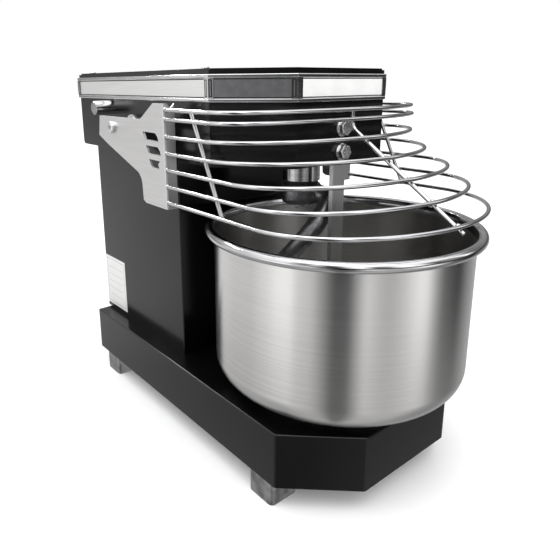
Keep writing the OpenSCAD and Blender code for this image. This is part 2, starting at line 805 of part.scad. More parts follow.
// Reed switch inside the head's wall, and the magnet on the guard that closes it
sensor_y = pivot_y - 36;
sensor_z = pivot_z - 12;
module reed_sensor() {
  color(rubber) block(-head_w / 2 + sheet_t, -head_w / 2 + sheet_t + 14,
    sensor_y - 14, sensor_y + 14, sensor_z - 7, sensor_z + 7);
}
module sensor_magnet() {
  color(rubber) block(-guard_x + plate_t, -guard_x + plate_t + 8,
    sensor_y - 11, sensor_y + 11, sensor_z - 5, sensor_z + 5);
}

// ---- Guard ----

// Side plate seen from the left, as distances from the pivot: forward is minus
rear_end = 32.5;
top_edge = 11.7;
horn_top = 28.2;
horn_l = 20;
foot_l = 42.3;
low_edge = -75.5;
neck_r = 16;
function plate_outline() = concat(
  [[rear_end, top_edge], [-reach + horn_l + 27, top_edge], [-reach + horn_l, horn_top], [-reach, horn_top],
   [-reach, low_edge], [-reach + foot_l, low_edge + 0.5], [-reach + foot_l + 5.4, low_edge + 2.9]],
  [for (a = [172 : -11 : 117])
    [-reach + foot_l + 6.5 + neck_r * (1 + cos(a)), low_edge + 18 + neck_r * 0.97 * sin(a)]],
  [[14.2, -19.9], [rear_end + 4.4, -10.7]]);
// Slanted slots near the flange, each one nearer the flange than the one above
slot_w = 25.4;
slot_h = 8.4;
slot_pitch = 13.6;
slots = 3;
function slot_outline(i) =
  let (y = -reach + 42.7 - 5.4 * i, z = -0.4 - slot_pitch * i, w = slot_w - 1.8 * i, lean = i < 2 ? 5.8 : -2)
  [[y, z], [y - w, z - 0.4], [y - w - lean + 2, z - slot_h * 0.45], [y - w - lean, z - slot_h],
   [y - 5, z - slot_h + 0.6]];

module guard_plate() {
  color(steel) difference() {
    union() {
       translate([guard_x, pivot_y, pivot_z]) rotate([90, 0, -90])
         linear_extrude(plate_t) mirror([1, 0]) polygon(plate_outline());
      translate([0, flange_y, pivot_z]) difference() {
        block(guard_x - flange_w, guard_x, 0, plate_t, low_edge, horn_top);
        translate([guard_x - flange_w, -1, horn_top]) rotate([0, 45, 0])
          cube([6, plate_t + 2, 6], center = false);
      }
    }
    bar_along_x(guard_x - plate_t - 1, guard_x + 1, pivot_y, pivot_z, pin_r + fit);
    translate([guard_x + 1, pivot_y, pivot_z]) rotate([90, 0, -90]) linear_extrude(plate_t + 2)
      for (i = [0 : slots - 1]) mirror([1, 0]) polygon(slot_outline(i));
  }
}
module guard_plate_right() { guard_plate(); }
module guard_plate_left() { mirror([1, 0, 0]) guard_plate(); }

// One wire: straight along both sides, then an arch round the front
arch_steps = 34;
wire_sides = 8;
function arch(k) = k < 2 ? 2.5 : 2;
function wire_path(k) =
  let (b = wire_arch[k], y0 = wire_front(k) + b, n = arch(k), z = wire_z(k))
  concat([[wire_x, flange_y, z]],
    [for (i = [0 : arch_steps]) let (a = 180 * i / arch_steps, c = cos(a), s = sin(a))
      [wire_x * sign(c) * pow(abs(c), 2 / n), y0 - b * pow(max(s, 0), 2 / n), z]],
    [[-wire_x, flange_y, z]]);
module guard_wires() {
  color(bright) for (k = [0 : wires - 1])
    let (p = wire_path(k)) sweep(p, [for (q = p) wire_d / 2], wire_sides);
}

// Three struts tie the wires together from inside
strut_off = wire_d + 0.2;
slope = [-wire_ahead, -wire_step] / norm([wire_ahead, wire_step]);
strut_side = [-slope[1], slope[0]] * strut_off;
strut_low = [wire_front(wires - 1), wire_z(wires - 1)] + strut_side + slope * 5;
bend_y = wire_front(0) + strut_off;
bend_z = strut_low[1] + (bend_y - strut_low[0]) * wire_step / wire_ahead;
module guard_struts() {
  color(bright) {
    for (s = [-1, 1]) rod([s * (wire_x - strut_off), flange_y - 37.5, wire_z(0) + 1],
                          [s * (wire_x - strut_off), flange_y - 83.5, wire_z(wires - 1) - 1], wire_d / 2);
    rod([0, bend_y, wire_z(0)], [0, bend_y, bend_z - 0.5], wire_d / 2);
    rod([0, bend_y - 0.8 * slope[0], bend_z - 0.8 * slope[1]], [0, strut_low[0], strut_low[1]], wire_d / 2);
  }
}
module guard_pins() {
  x_in = head_w / 2 - 8 - gap;
  color(bright) for (s = [-1, 1]) scale([s, 1, 1]) difference() {
    union() {
      bar_along_x(x_in - 4, guard_x + eps, pivot_y, pivot_z, pin_r);
      bar_along_x(x_in - 4, x_in, pivot_y, pivot_z, bush_r);
      bar_along_x(guard_x, guard_x + pin_head, pivot_y, pivot_z, pin_r + 1.5);
    }
    translate([guard_x + 1, pivot_y, pivot_z]) rotate([0, 90, 0]) hex(5, pin_head);
  }
}

// ---- Bowl ----

module cup(r, corner, z0, z1) {
  translate([0, z0]) square([r - corner, z1 - z0]);
  translate([0, z0 + corner]) square([r, z1 - z0 - corner]);
  translate([r - corner, z0 + corner]) circle(corner);
}
module bowl() {
  r = bowl_d / 2;
  color(steel) translate([0, bowl_y, 0]) rotate_extrude($fn = 128) difference() {
    union() {
      intersection() {
        cup(r, bowl_r, bowl_z, rim_z);
        square([2 * r, rim_z]);
      }
      translate([rim_d / 2 - bead_r, rim_z]) circle(bead_r);
    }
    intersection() {
      cup(r - bowl_t, bowl_r - bowl_t, floor_z, rim_z + 2 * bead_r);
      square([2 * r, 2 * rim_z]);
    }
    translate([-2 * r, 0]) square([2 * r, 2 * rim_z]);
  }
}
module bowl_disc() {
  color(alloy) difference() {
    post(0, bowl_y, disc_z, disc_z + disc_h, disc_d / 2);
    post(0, bowl_y, disc_z - 1, disc_z + disc_h - 2, shaft_r - 2);
  }
}
module bowl_shaft() {
  color(steel) {
    post(0, bowl_y, low_chain_z - 4, disc_z, shaft_r);
    post(0, bowl_y, disc_z, disc_z + disc_h - 2, shaft_r - 2);
  }
}
module bowl_sprocket() { color(cast) sprocket(0, bowl_y, low_chain_z, bowl_teeth, shaft_r); }

// ---- Spindle and hook ----

module spindle() {
  color(steel) difference() {
    union() {
      post(0, spindle_y, collar_top - eps, spindle_top, spindle_r);
      post(0, spindle_y, collar_z, collar_top, collar_d / 2);
      post(0, spindle_y, hub_top, collar_z + eps, collar_d / 2 - 2);
      post(0, spindle_y, hub_z + 5, hub_top + eps, spigot_r);
    }
    post(0, spindle_y, hub_z, hub_z + 25, 4 + fit);
  }
}
module spindle_sprocket() { color(cast) sprocket(0, spindle_y, top_chain_z, spindle_teeth, spindle_r); }

root_steps = 7;
helix_steps = 44;
tip_steps = 4;
function hook_point(r, a, z) = [r * cos(a), spindle_y + r * sin(a), z];
function hook_path() = concat(
  [for (i = [0 : root_steps - 1]) let (t = i / root_steps)
    hook_point(arm_start + (hook_r - arm_start) * sin(90 * t), arm_angle - arm_turn * t,
      arm_z - arm_fall * t * t)],
  [for (i = [0 : helix_steps]) let (z = helix_z + (helix_end - helix_z) * i / helix_steps)
    hook_point(hook_r, arm_angle - arm_turn - hook_twist * (helix_z - z), z)]);
module hook() {
  p = hook_path();
  last = len(p) - 1;
  radii = [for (i = [0 : last])
    hook_d / 2 * (i > last - tip_steps ? sqrt(1 - pow((i - last + tip_steps) / (tip_steps + 0.6), 2)) : 1)];
  color(cast) difference() {
    union() {
      post(0, spindle_y, hub_z, hub_top, hub_d / 2);
      sweep(p, radii, 14);
    }
    post(0, spindle_y, hub_z + 5, hub_top + 1, spigot_r + fit);
    post(0, spindle_y, hub_z - 1, hub_top + 1, 4.4);
  }
}
module hook_bolt() {
  color(steel) translate([0, spindle_y, hub_z]) mirror([0, 0, 1]) {
    cylinder(h = 1.2, r = 7);
    translate([0, 0, 1.2 - eps]) hex(11, 5);
    translate([0, 0, -22]) cylinder(h = 22 + eps, r = 4);
  }
}

// ---- Layshaft ----

module layshaft() {
  z0 = base_z + sheet_t + 2 + gap;
  color(steel) post(lay_x, lay_y, z0, lay_top, lay_r);
}
module driven_pulley() {
  color(cast) difference() {
    pulley(lay_x, lay_y, pulley_r, lay_r);
    for (a = [0 : 60 : 300])
      post(lay_x + 40 * cos(a), lay_y + 40 * sin(a), belt_z - 5, belt_z + belt_w + 5, 13);
  }
}
module upper_sprocket() { color(cast) sprocket(lay_x, lay_y, top_chain_z, up_teeth, lay_r); }
module lower_sprocket() { color(cast) sprocket(lay_x, lay_y, low_chain_z, low_teeth, lay_r); }

base_shell();
bottom_plate();
feet();
foot_screws();
column_shell();
rear_cover();
cover_screws();
head_shell();
head_plate();
lid();
lid_screws();
side_panels();
corner_panels();
front_panel();
rear_panel();
trim_rails();
trim_posts();
rating_plate();
stop_rods();
pivot_bushes();
breaker_bar();
breaker_bolts();
spindle_housing();
spindle_bearings();
bowl_housing();
bowl_bearings();
layshaft_bearings();
housing_bolts();
motor_body();
motor_bolts();
drive_belt();
spindle_chain();
bowl_chain();
capacitor();
switch_plate();
contact_block();
cable_gland();
reed_sensor();
guard_plate_left();
guard_plate_right();
guard_wires();
guard_struts();
guard_pins();
sensor_magnet();
bowl();
bowl_disc();
bowl_shaft();
bowl_sprocket();
spindle();
spindle_sprocket();
hook();
hook_bolt();
layshaft();
driven_pulley();
upper_sprocket();
lower_sprocket();
motor_rotor();
motor_pulley();
start_button();
stop_button();
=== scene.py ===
import json
from math import atan2, cos, pi, radians, sin, sqrt

import bmesh
import bpy
from mathutils import Matrix, Vector


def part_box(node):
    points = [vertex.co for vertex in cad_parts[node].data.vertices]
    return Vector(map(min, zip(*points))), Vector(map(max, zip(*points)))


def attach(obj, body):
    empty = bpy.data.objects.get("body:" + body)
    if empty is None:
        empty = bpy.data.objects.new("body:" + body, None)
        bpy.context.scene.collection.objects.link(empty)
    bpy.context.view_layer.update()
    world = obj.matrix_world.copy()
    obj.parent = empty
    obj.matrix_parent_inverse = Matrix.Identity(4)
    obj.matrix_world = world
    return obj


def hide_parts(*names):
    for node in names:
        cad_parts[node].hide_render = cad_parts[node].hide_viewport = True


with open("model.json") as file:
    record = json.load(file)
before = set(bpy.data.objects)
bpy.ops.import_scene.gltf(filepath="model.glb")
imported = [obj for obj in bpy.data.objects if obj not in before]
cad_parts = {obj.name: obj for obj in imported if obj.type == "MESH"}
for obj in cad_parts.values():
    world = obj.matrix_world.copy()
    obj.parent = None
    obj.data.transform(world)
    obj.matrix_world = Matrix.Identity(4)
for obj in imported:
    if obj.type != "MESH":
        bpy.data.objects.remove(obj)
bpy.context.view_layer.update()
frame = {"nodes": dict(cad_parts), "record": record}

# A countertop spiral dough mixer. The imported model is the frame; everything here is in metres.
MM = 0.001
RECORD = frame["record"]
BODY_OF = {node: body for body, nodes in RECORD["behaviour"]["bodies"].items() for node in nodes}
SLOT_OF = {part["node"]: part["material_slot"] for part in RECORD["subparts"]}


# ---- Colour and node helpers ----

def linear(code):
    """A colour written as an sRGB hex code, as the linear colour that a shader takes."""
    parts = [int(code[i:i + 2], 16) / 255 for i in (1, 3, 5)]
    return tuple(c / 12.92 if c <= 0.04045 else ((c + 0.055) / 1.055) ** 2.4 for c in parts) + (1.0,)


def add(tree, kind, settings=None, links=None):
    """Adds a node. A setting whose name starts with a capital, or is a number, is an input's value."""
    node = tree.nodes.new(kind)
    for key, value in (settings or {}).items():
        if isinstance(key, int) or key[0].isupper():
            node.inputs[key].default_value = value
        else:
            setattr(node, key, value)
    for key, socket in (links or {}).items():
        tree.links.new(socket, node.inputs[key])
    return node


def start_finish(name, values):
    """A named material, its tree and its shader, whose plain values are given by socket."""
    material = bpy.data.materials.new(name)
    material.use_nodes = True
    tree = material.node_tree
    shader = next(n for n in tree.nodes if n.type == "BSDF_PRINCIPLED")
    for socket, value in values.items():
        shader.inputs[socket].default_value = value
    return material, tree, shader


# Nearly all of a noise's values lie between these two, so they stand for a finish's two ends.
NOISE_LOW, NOISE_HIGH = 0.32, 0.68


def finish(name, colour, rough, relief, rubbed=None, **values):
    """A finish made of three noises, each given as (size, first, second).

    The two values are the ends of the colour and of the roughness. For the relief they are its strength
    and its depth in mm. A size is one length in mm, or three along X, Y and Z. A rubbed finish lies on
    the named map instead, which is in metres along and across the rubbing.
    """
    values = {key.replace("_", " "): value for key, value in values.items()}
    material, tree, shader = start_finish(name, values)
    shader.inputs["Base Color"].default_value = material.diffuse_color = linear(colour[2])
    if rubbed:
        spot = add(tree, "ShaderNodeUVMap", {"uv_map": rubbed}).outputs["UV"]
        along = add(tree, "ShaderNodeTangent", {"direction_type": "UV_MAP", "uv_map": rubbed})
        tree.links.new(along.outputs["Tangent"], shader.inputs["Tangent"])
    else:
        spot = add(tree, "ShaderNodeTexCoord").outputs["Object"]
    for socket, (size, low, high) in (("Base Color", colour), ("Roughness", rough), ("Normal", relief)):
        cell = size if isinstance(size, tuple) else (size, size, size)
        stretch = add(tree, "ShaderNodeMapping", {"Scale": tuple(1 / (c * MM) for c in cell)},
                      {"Vector": spot})
        noise = add(tree, "ShaderNodeTexNoise", {"Scale": 1.0, "Detail": 2.0, "Roughness": 0.5},
                    {"Vector": stretch.outputs["Vector"]})
        if socket == "Base Color":
            spread = add(tree, "ShaderNodeValToRGB", links={"Fac": noise.outputs["Fac"]})
            for stop, share, code in zip(spread.color_ramp.elements, (NOISE_LOW, NOISE_HIGH), (low, high)):
                stop.position, stop.color = share, linear(code)
        elif socket == "Roughness":
            spread = add(tree, "ShaderNodeMapRange", {"From Min": NOISE_LOW, "From Max": NOISE_HIGH,
                                                      "To Min": low, "To Max": high},
                         {"Value": noise.outputs["Fac"]})
        else:
            spread = add(tree, "ShaderNodeBump", {"Strength": low, "Distance": high * MM},
                         {"Height": noise.outputs["Fac"]})
        tree.links.new(spread.outputs[0], shader.inputs[socket])
    return material


# ---- Materials ----

# Black stoving enamel, sprayed on folded steel: a hard gloss with the faint orange peel of a sprayed
# film, about 2.5 mm from crest to crest, and a soft haze where hands wipe it.
ENAMEL = finish("black_stoved_enamel", (90, "#060607", "#09090a"), (70, 0.15, 0.25), (2.5, 0.5, 0.012),
                IOR=1.42)

# Stainless sheet rubbed with an abrasive belt: straight scratches with a long fade, which soften what the
# metal mirrors. They are drawn 0.5 mm wide, because the real ones, near 0.05 mm, can't show.
BELT = (60, 60, 0.5)
GUARD_STEEL = finish("belt_rubbed_stainless_guard", (BELT, "#cfcece", "#dcdbda"), (BELT, 0.36, 0.46),
                     (BELT, 0.4, 0.004), Metallic=1.0)
BAND_STEEL = finish("belt_rubbed_stainless_band", (BELT, "#e6e6e5", "#f0f0ef"), (BELT, 0.34, 0.44),
                    (BELT, 0.4, 0.004), Metallic=1.0)
PLATE_STEEL = finish("belt_rubbed_stainless_plate", (BELT, "#b4b4b5", "#c8c8c8"), (BELT, 0.3, 0.42),
                     (BELT, 0.5, 0.005), Metallic=1.0)
UPRIGHT_BELT = (0.5, 0.5, 50)
BAR_STEEL = finish("belt_rubbed_stainless_bar", (UPRIGHT_BELT, "#cfcfd0", "#dededf"),
                   (UPRIGHT_BELT, 0.3, 0.42), (UPRIGHT_BELT, 0.5, 0.005), Metallic=1.0)

# Dark stainless sheet rolled with a hammered skin: shallow dimples, 1.3 mm across, that break up its gloss.
CORNER_STEEL = finish("dark_hammered_stainless", (7, "#86868a", "#929295"), (3, 0.36, 0.42),
                      (1.3, 0.7, 0.05), Metallic=1.0)

# Stainless steel polished with a belt while the bowl turns: the scratches run round the bowl, so each lamp
# spreads into a tall upright streak. They are drawn 1.3 mm wide, because the real ones can't show.
ROUND_BELT = (500, 1.3, 1)
BOWL_STEEL = finish("spun_stainless_bowl", (ROUND_BELT, "#d0cfce", "#d7d6d5"), (ROUND_BELT, 0.23, 0.26),
                    (ROUND_BELT, 0.1, 0.002), rubbed="round", Metallic=1.0, Anisotropic=0.85,
                    Anisotropic_Rotation=0.25)
# The inside is rubbed the same way but left softer, so its streaks reach further up and down. Its colour is
# darker than the outside's only as painted shade inside the bowl.
BOWL_INSIDE_SHADED = finish("spun_stainless_bowl_inside_painted_shade", (ROUND_BELT, "#a5a4a2", "#adacaa"),
                     (ROUND_BELT, 0.3, 0.34), (ROUND_BELT, 0.1, 0.002), rubbed="round", Metallic=1.0,
                     Anisotropic=0.95, Anisotropic_Rotation=0.25)
# The collar over the hub: finely turned and bright, so it mirrors the studio as narrow upright bands.
COLLAR_STEEL = finish("turned_stainless_collar", (ROUND_BELT, "#a9a9aa", "#c9c9ca"),
                      (ROUND_BELT, 0.18, 0.26), (ROUND_BELT, 0.4, 0.003), rubbed="round", Metallic=1.0,
                      Anisotropic=0.8, Anisotropic_Rotation=0.25)

# Electropolished stainless rod: a bright mirror with the slight waviness left by drawing and bending.
POLISHED = finish("electropolished_stainless", (20, "#bfbfc1", "#cacacb"), (6, 0.08, 0.17), (4, 0.35, 0.01),
                  Metallic=1.0)

# Bright zinc plate on rolled bolts: a cool grey film, cloudy over a couple of millimetres.
ZINC = finish("bright_zinc_plate", (2.2, "#d9d9da", "#f0f0f1"), (2.2, 0.22, 0.36), (0.8, 0.4, 0.008),
              Metallic=1.0)

# Bright turned steel: feed marks along the turning axis, drawn 0.6 mm apart so that they show.
FEED = (30, 30, 0.6)
TURNED = finish("turned_steel", (FEED, "#98989b", "#c6c6c8"), (FEED, 0.2, 0.34), (FEED, 0.5, 0.006),
                Metallic=1.0)

# Sand castings: the mould's sand leaves a pebbled skin, a millimetre or so across, and broader worn and
# dull patches. The aluminium is tumbled bright, the hook has a dark graphite wash, and the iron is dull.
CAST_ALLOY = finish("tumbled_cast_aluminium", (9, "#7d7d7e", "#a3a3a4"), (9, 0.34, 0.5), (1.1, 0.7, 0.06),
                    Metallic=1.0)
CAST_HOOK = finish("graphite_washed_cast_steel", (6, "#6c6c6e", "#8a8a8c"), (5, 0.26, 0.36),
                   (1.2, 0.6, 0.06), Metallic=0.85)
CAST_IRON = finish("grey_cast_iron", (9, "#3a3a3c", "#4c4c4e"), (9, 0.47, 0.63), (1.1, 0.7, 0.06),
                   Metallic=0.6)

# Rolled chain steel under a film of oil: brownish dark grey, smeared over a few millimetres.
CHAIN_STEEL = finish("oiled_chain_steel", (3, "#3f3e3c", "#57554f"), (2, 0.3, 0.48), (1.2, 0.5, 0.02),
                     Metallic=1.0)

# Grey-blue hammer paint on the motor: soft gloss over dimples 3 mm across.
MOTOR_PAINT = finish("grey_hammer_paint", (6, "#3a4047", "#4a5058"), (3, 0.35, 0.5), (3, 0.6, 0.08),
                     IOR=1.5)

# Moulded rubber and nylon: nearly black and dull, with the mould's fine sparked skin drawn 0.7 mm across.
RUBBER = finish("moulded_black_rubber", (14, "#131313", "#1c1c1c"), (0.7, 0.57, 0.7), (0.7, 0.4, 0.012),
                IOR=1.52)
BLACK_PLASTIC = finish("moulded_black_nylon", (14, "#161616", "#202020"), (0.7, 0.4, 0.53),
                       (0.7, 0.4, 0.012), IOR=1.53)

# Button caps of moulded polycarbonate, coloured right through: clear colour under a smooth gloss.
GREEN_PLASTIC = finish("green_polycarbonate", (14, "#1c7a35", "#248f41"), (2, 0.18, 0.3), (1.2, 0.3, 0.006),
                       IOR=1.58)
RED_PLASTIC = finish("red_polycarbonate", (14, "#a81717", "#bd2020"), (2, 0.18, 0.3), (1.2, 0.3, 0.006),
                     IOR=1.58)

# White vinyl film on the front of the band: even and a little soft, with a faint unevenness of its glue.
FILM = finish("white_vinyl_film", (16, "#f1f1f0", "#f8f8f7"), (9, 0.28, 0.4), (14, 0.3, 0.02), IOR=1.46)


def blank_label():
    """A polyester label with nothing written on it: a thin grey frame and a few ruled lines on white."""
    material, tree, shader = start_finish("blank_polyester_label", {"IOR": 1.5, "Roughness": 0.4})
    low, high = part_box("rating_plate")
    middle, half = (low + high) / 2, (high - low) / 2
    margin, frame_half, rule_half, pitch = 4 * MM, 0.35 * MM, 0.25 * MM, 5 * MM
    spot = add(tree, "ShaderNodeTexCoord")
    centred = add(tree, "ShaderNodeVectorMath", {"operation": "SUBTRACT", 1: tuple(middle)},
                  {0: spot.outputs["Object"]})
    parts = add(tree, "ShaderNodeSeparateXYZ", links={"Vector": centred.outputs["Vector"]})
    edges = []
    for axis, reach in (("Y", half.y - margin), ("Z", half.z - margin)):
        out = add(tree, "ShaderNodeMath", {"operation": "ABSOLUTE"}, {0: parts.outputs[axis]})
        edges.append(add(tree, "ShaderNodeMath", {"operation": "SUBTRACT", 1: reach}, {0: out.outputs[0]}))
    outside = add(tree, "ShaderNodeMath", {"operation": "MAXIMUM"},
                  {0: edges[0].outputs[0], 1: edges[1].outputs[0]})
    border = add(tree, "ShaderNodeMath", {"operation": "COMPARE", 1: 0.0, 2: frame_half},
                 {0: outside.outputs[0]})
    rows = add(tree, "ShaderNodeMath", {"operation": "PINGPONG", 1: pitch}, {0: parts.outputs["Z"]})
    rule = add(tree, "ShaderNodeMath", {"operation": "LESS_THAN", 1: rule_half}, {0: rows.outputs[0]})
    within = add(tree, "ShaderNodeMath", {"operation": "LESS_THAN", 1: -margin}, {0: outside.outputs[0]})
    ruled = add(tree, "ShaderNodeMath", {"operation": "MULTIPLY"},
                {0: rule.outputs[0], 1: within.outputs[0]})
    ink = add(tree, "ShaderNodeMath", {"operation": "MAXIMUM"}, {0: border.outputs[0], 1: ruled.outputs[0]})
    colour = add(tree, "ShaderNodeMix", {"data_type": "RGBA", 6: linear("#d6d6d5"), 7: linear("#98989a")},
                 {0: ink.outputs[0]})
    tree.links.new(colour.outputs[2], shader.inputs["Base Color"])
    return material


LABEL = blank_label()

SLOT_FINISH = {
    "black_paint": ENAMEL, "satin_stainless": PLATE_STEEL, "polished_stainless": POLISHED,
    "zinc_plated_steel": ZINC, "machined_steel": TURNED, "cast_aluminium": CAST_ALLOY,
    "dark_cast_iron": CAST_IRON, "roller_chain": CHAIN_STEEL, "motor_paint": MOTOR_PAINT,
    "black_rubber": RUBBER, "black_plastic": BLACK_PLASTIC, "printed_label": LABEL,
    "green_plastic": GREEN_PLASTIC, "red_plastic": RED_PLASTIC}
for node, cad in frame["nodes"].items():
    cad.data.materials.clear()
    cad.data.materials.append(SLOT_FINISH[SLOT_OF[node]])


# ---- Piece helpers ----

NEAR = 0.01 * MM  # A vertex this near to a plane lies in it.
FLAT = 0.5  # CAD triangles that turn less than this, in degrees, are one flat face.
WELDED = 0.001 * MM  # Vertices this near to each other are one.


def show(name, mesh, node, *finishes, crease=35, wall=0.0):
    """Makes a finished piece from a bmesh or a mesh. It moves with a CAD node's body and takes the finishes
    given.
    """
    if isinstance(mesh, bmesh.types.BMesh):
        made = bpy.data.meshes.new(name)
        mesh.to_mesh(made)
        mesh.free()
        mesh = made
    piece = bpy.data.objects.new(name, mesh)
    bpy.context.collection.objects.link(piece)
    for skin in finishes:
        mesh.materials.append(skin)
    mesh.polygons.foreach_set("use_smooth", [True] * len(mesh.polygons))
    mesh.set_sharp_from_angle(angle=radians(crease))
    if wall:
        sheet = piece.modifiers.new("sheet", "SOLIDIFY")
        sheet.thickness, sheet.offset = wall, -1
    piece.modifiers.new("even", "WEIGHTED_NORMAL").keep_sharp = True
    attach(piece, BODY_OF[node])
    return piece


def stand_in(name, mesh, node, *finishes, **look):
    """A finished piece that takes the place of its CAD node."""
    piece = show(name, mesh, node, *finishes, **look)
    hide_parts(node)
    return piece


def sharp_edges(bm, sharper_than=40):
    """The edges where two faces turn by more than an angle in degrees."""
    return [e for e in bm.edges if len(e.link_faces) == 2 and e.calc_face_angle(0) > radians(sharper_than)]


def round_edges(bm, edges, width, segments=2):
    """Rounds edges, each to a strip of faces."""
    if edges:
        bmesh.ops.bevel(bm, geom=edges, offset=width, offset_type="OFFSET", affect="EDGES",
                        segments=segments, profile=0.5, clamp_overlap=True, material=-1)


def merged(node):
    """A copy of a CAD node with its loose triangles merged into whole faces."""
    bm = bmesh.new()
    bm.from_mesh(frame["nodes"][node].data)
    bmesh.ops.remove_doubles(bm, verts=bm.verts, dist=WELDED)
    bmesh.ops.dissolve_limit(bm, angle_limit=radians(FLAT), verts=bm.verts, edges=bm.edges)
    return bm


def eased(node, width, segments=2, sharper_than=40):
    """A copy of a CAD node with its sharp edges broken, as a worked part has."""
    bm = merged(node)
    round_edges(bm, sharp_edges(bm, sharper_than), width, segments)
    return bm


def prism(outline, z0, z1):
    """A closed upright block over an outline of (x, y) corners."""
    bm = bmesh.new()
    floor = bm.faces.new([bm.verts.new((x, y, z0)) for x, y in outline])
    top = bmesh.ops.extrude_face_region(bm, geom=[floor])
    raised = [v for v in top["geom"] if isinstance(v, bmesh.types.BMVert)]
    bmesh.ops.translate(bm, vec=(0, 0, z1 - z0), verts=raised)
    bmesh.ops.recalc_face_normals(bm, faces=bm.faces)
    return bm


def lathe(profile, steps=48, closed=False):
    """Turns a profile of (radius, height) points about the Z axis."""
    bm = bmesh.new()
    points = [bm.verts.new((r, 0, z)) for r, z in profile]
    lines = [bm.edges.new(pair) for pair in zip(points, points[1:])]
    if closed:
        lines.append(bm.edges.new((points[-1], points[0])))
    bmesh.ops.spin(bm, geom=points + lines, axis=(0, 0, 1), cent=(0, 0, 0), angle=2 * pi, steps=steps,
                   use_merge=True, use_normal_flip=False, use_duplicate=False)
    bmesh.ops.remove_doubles(bm, verts=bm.verts, dist=WELDED)
    bmesh.ops.recalc_face_normals(bm, faces=bm.faces)
    return bm


def place(bm, where, turn=None):
    """Moves a shape made about the origin to its place, after an optional turn."""
    matrix = Matrix.Translation(where)
    if turn is not None:
        matrix = matrix @ turn
    bmesh.ops.transform(bm, matrix=matrix, verts=bm.verts)
    return bm


def together(*shapes):
    """Joins shapes into one bmesh."""
    whole = bmesh.new()
    for shape in shapes:
        mesh = bpy.data.meshes.new("part")
        shape.to_mesh(mesh)
        shape.free()
        whole.from_mesh(mesh)
        bpy.data.meshes.remove(mesh)
    return whole


def arc(centre, radius, start, end, steps):
    """Points on an arc between two angles in degrees."""
    turns = [radians(start + (end - start) * i / steps) for i in range(steps + 1)]
    return [(centre[0] + radius * cos(t), centre[1] + radius * sin(t)) for t in turns]


# A fastener stands on z = 0 with its head up. These turn its head to the left, right, front and rear.
FACE_LEFT = Matrix.Rotation(radians(-90), 4, "Y")
FACE_RIGHT = Matrix.Rotation(radians(90), 4, "Y")
FACE_FRONT = Matrix.Rotation(radians(90), 4, "X")
FACE_REAR = Matrix.Rotation(radians(-90), 4, "X")


def tube(paths, radius, taper=None, sides=4):
    """Round bars along paths of points. taper gives each point's share of the radius."""
    curve = bpy.data.curves.new("route", "CURVE")
    curve.dimensions = "3D"
    curve.bevel_depth, curve.bevel_resolution, curve.use_fill_caps = radius, sides, True
    for path in paths:
        line = curve.splines.new("POLY")
        line.points.add(len(path) - 1)
        for i, (point, spot) in enumerate(zip(line.points, path)):
            point.co = (*spot, 1)
            point.radius = taper[i] if taper else 1.0
    carrier = bpy.data.objects.new("route", curve)
    bpy.context.collection.objects.link(carrier)
    bpy.context.view_layer.update()
    mesh = bpy.data.meshes.new_from_object(carrier.evaluated_get(bpy.context.evaluated_depsgraph_get()))
    bpy.data.objects.remove(carrier)
    bm = bmesh.new()
    bm.from_mesh(mesh)
    bpy.data.meshes.remove(mesh)
    bmesh.ops.recalc_face_normals(bm, faces=bm.faces)
    return bm


# ---- Folded body ----

SHEET = 2 * MM  # The steel sheet's thickness.
FOLD = 1.6 * MM  # The outer radius of its folds.
BASE_CUT = (61 * MM, 56 * MM)  # What the base's cut front corners take off along X and Y.
COVER_LAP = 11 * MM  # How far the rear cover laps over the rim of the column's window.


def cut_corner_outline(node, cut_x, cut_y):
    """The plan of a box whose two front corners are cut off."""
    low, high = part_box(node)
    return [(low.x, high.y), (low.x, low.y + cut_y), (low.x + cut_x, low.y),
            (high.x - cut_x, low.y), (high.x, low.y + cut_y), (high.x, high.y)]


def open_shell(outline, z0, z1, open_ends):
    """A folded box: its folds are rounded, and the ends named by their height are left open."""
    bm = prism(outline, z0, z1)
    gone = [f for f in bm.faces if any(all(abs(v.co.z - z) < NEAR for v in f.verts) for z in open_ends)]
    bmesh.ops.delete(bm, geom=gone, context="FACES_ONLY")
    round_edges(bm, sharp_edges(bm, 20), FOLD, 4)
    return bm


def window(bm, y, x_half, z0, z1):
    """Cuts a window in the wall that faces the rear at y."""
    for point, normal in (((-x_half, 0, 0), (1, 0, 0)), ((x_half, 0, 0), (1, 0, 0)),
                          ((0, 0, z0), (0, 0, 1)), ((0, 0, z1), (0, 0, 1))):
        wall = [f for f in bm.faces if all(abs(v.co.y - y) < NEAR for v in f.verts)]
        sheet = wall + list({e for f in wall for e in f.edges}) + list({v for f in wall for v in f.verts})
        bmesh.ops.bisect_plane(bm, geom=sheet, plane_co=point, plane_no=normal)
    hole = [f for f in bm.faces if all(abs(v.co.y - y) < NEAR for v in f.verts)
            and abs(f.calc_center_median().x) < x_half and z0 < f.calc_center_median().z < z1]
    bmesh.ops.delete(bm, geom=hole, context="FACES_ONLY")


head_low, head_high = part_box("head_shell")
head_middle = (head_low + head_high) / 2
base_low, base_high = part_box("base_shell")
base = open_shell(cut_corner_outline("base_shell", *BASE_CUT), base_low.z, base_high.z, [base_low.z])
stand_in("base_box", base, "base_shell", ENAMEL, wall=SHEET)

column_low, column_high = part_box("column_shell")
cover_low, cover_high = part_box("rear_cover")
column = open_shell([(column_low.x, column_high.y), (column_low.x, column_low.y),
                     (column_high.x, column_low.y), (column_high.x, column_high.y)],
                    column_low.z, column_high.z, [column_low.z, column_high.z])
window(column, column_high.y, cover_high.x - COVER_LAP, cover_low.z + COVER_LAP, cover_high.z - COVER_LAP)
stand_in("column_box", column, "column_shell", ENAMEL, wall=SHEET)

# ---- Pieces whose CAD shape only needs its edges broken ----

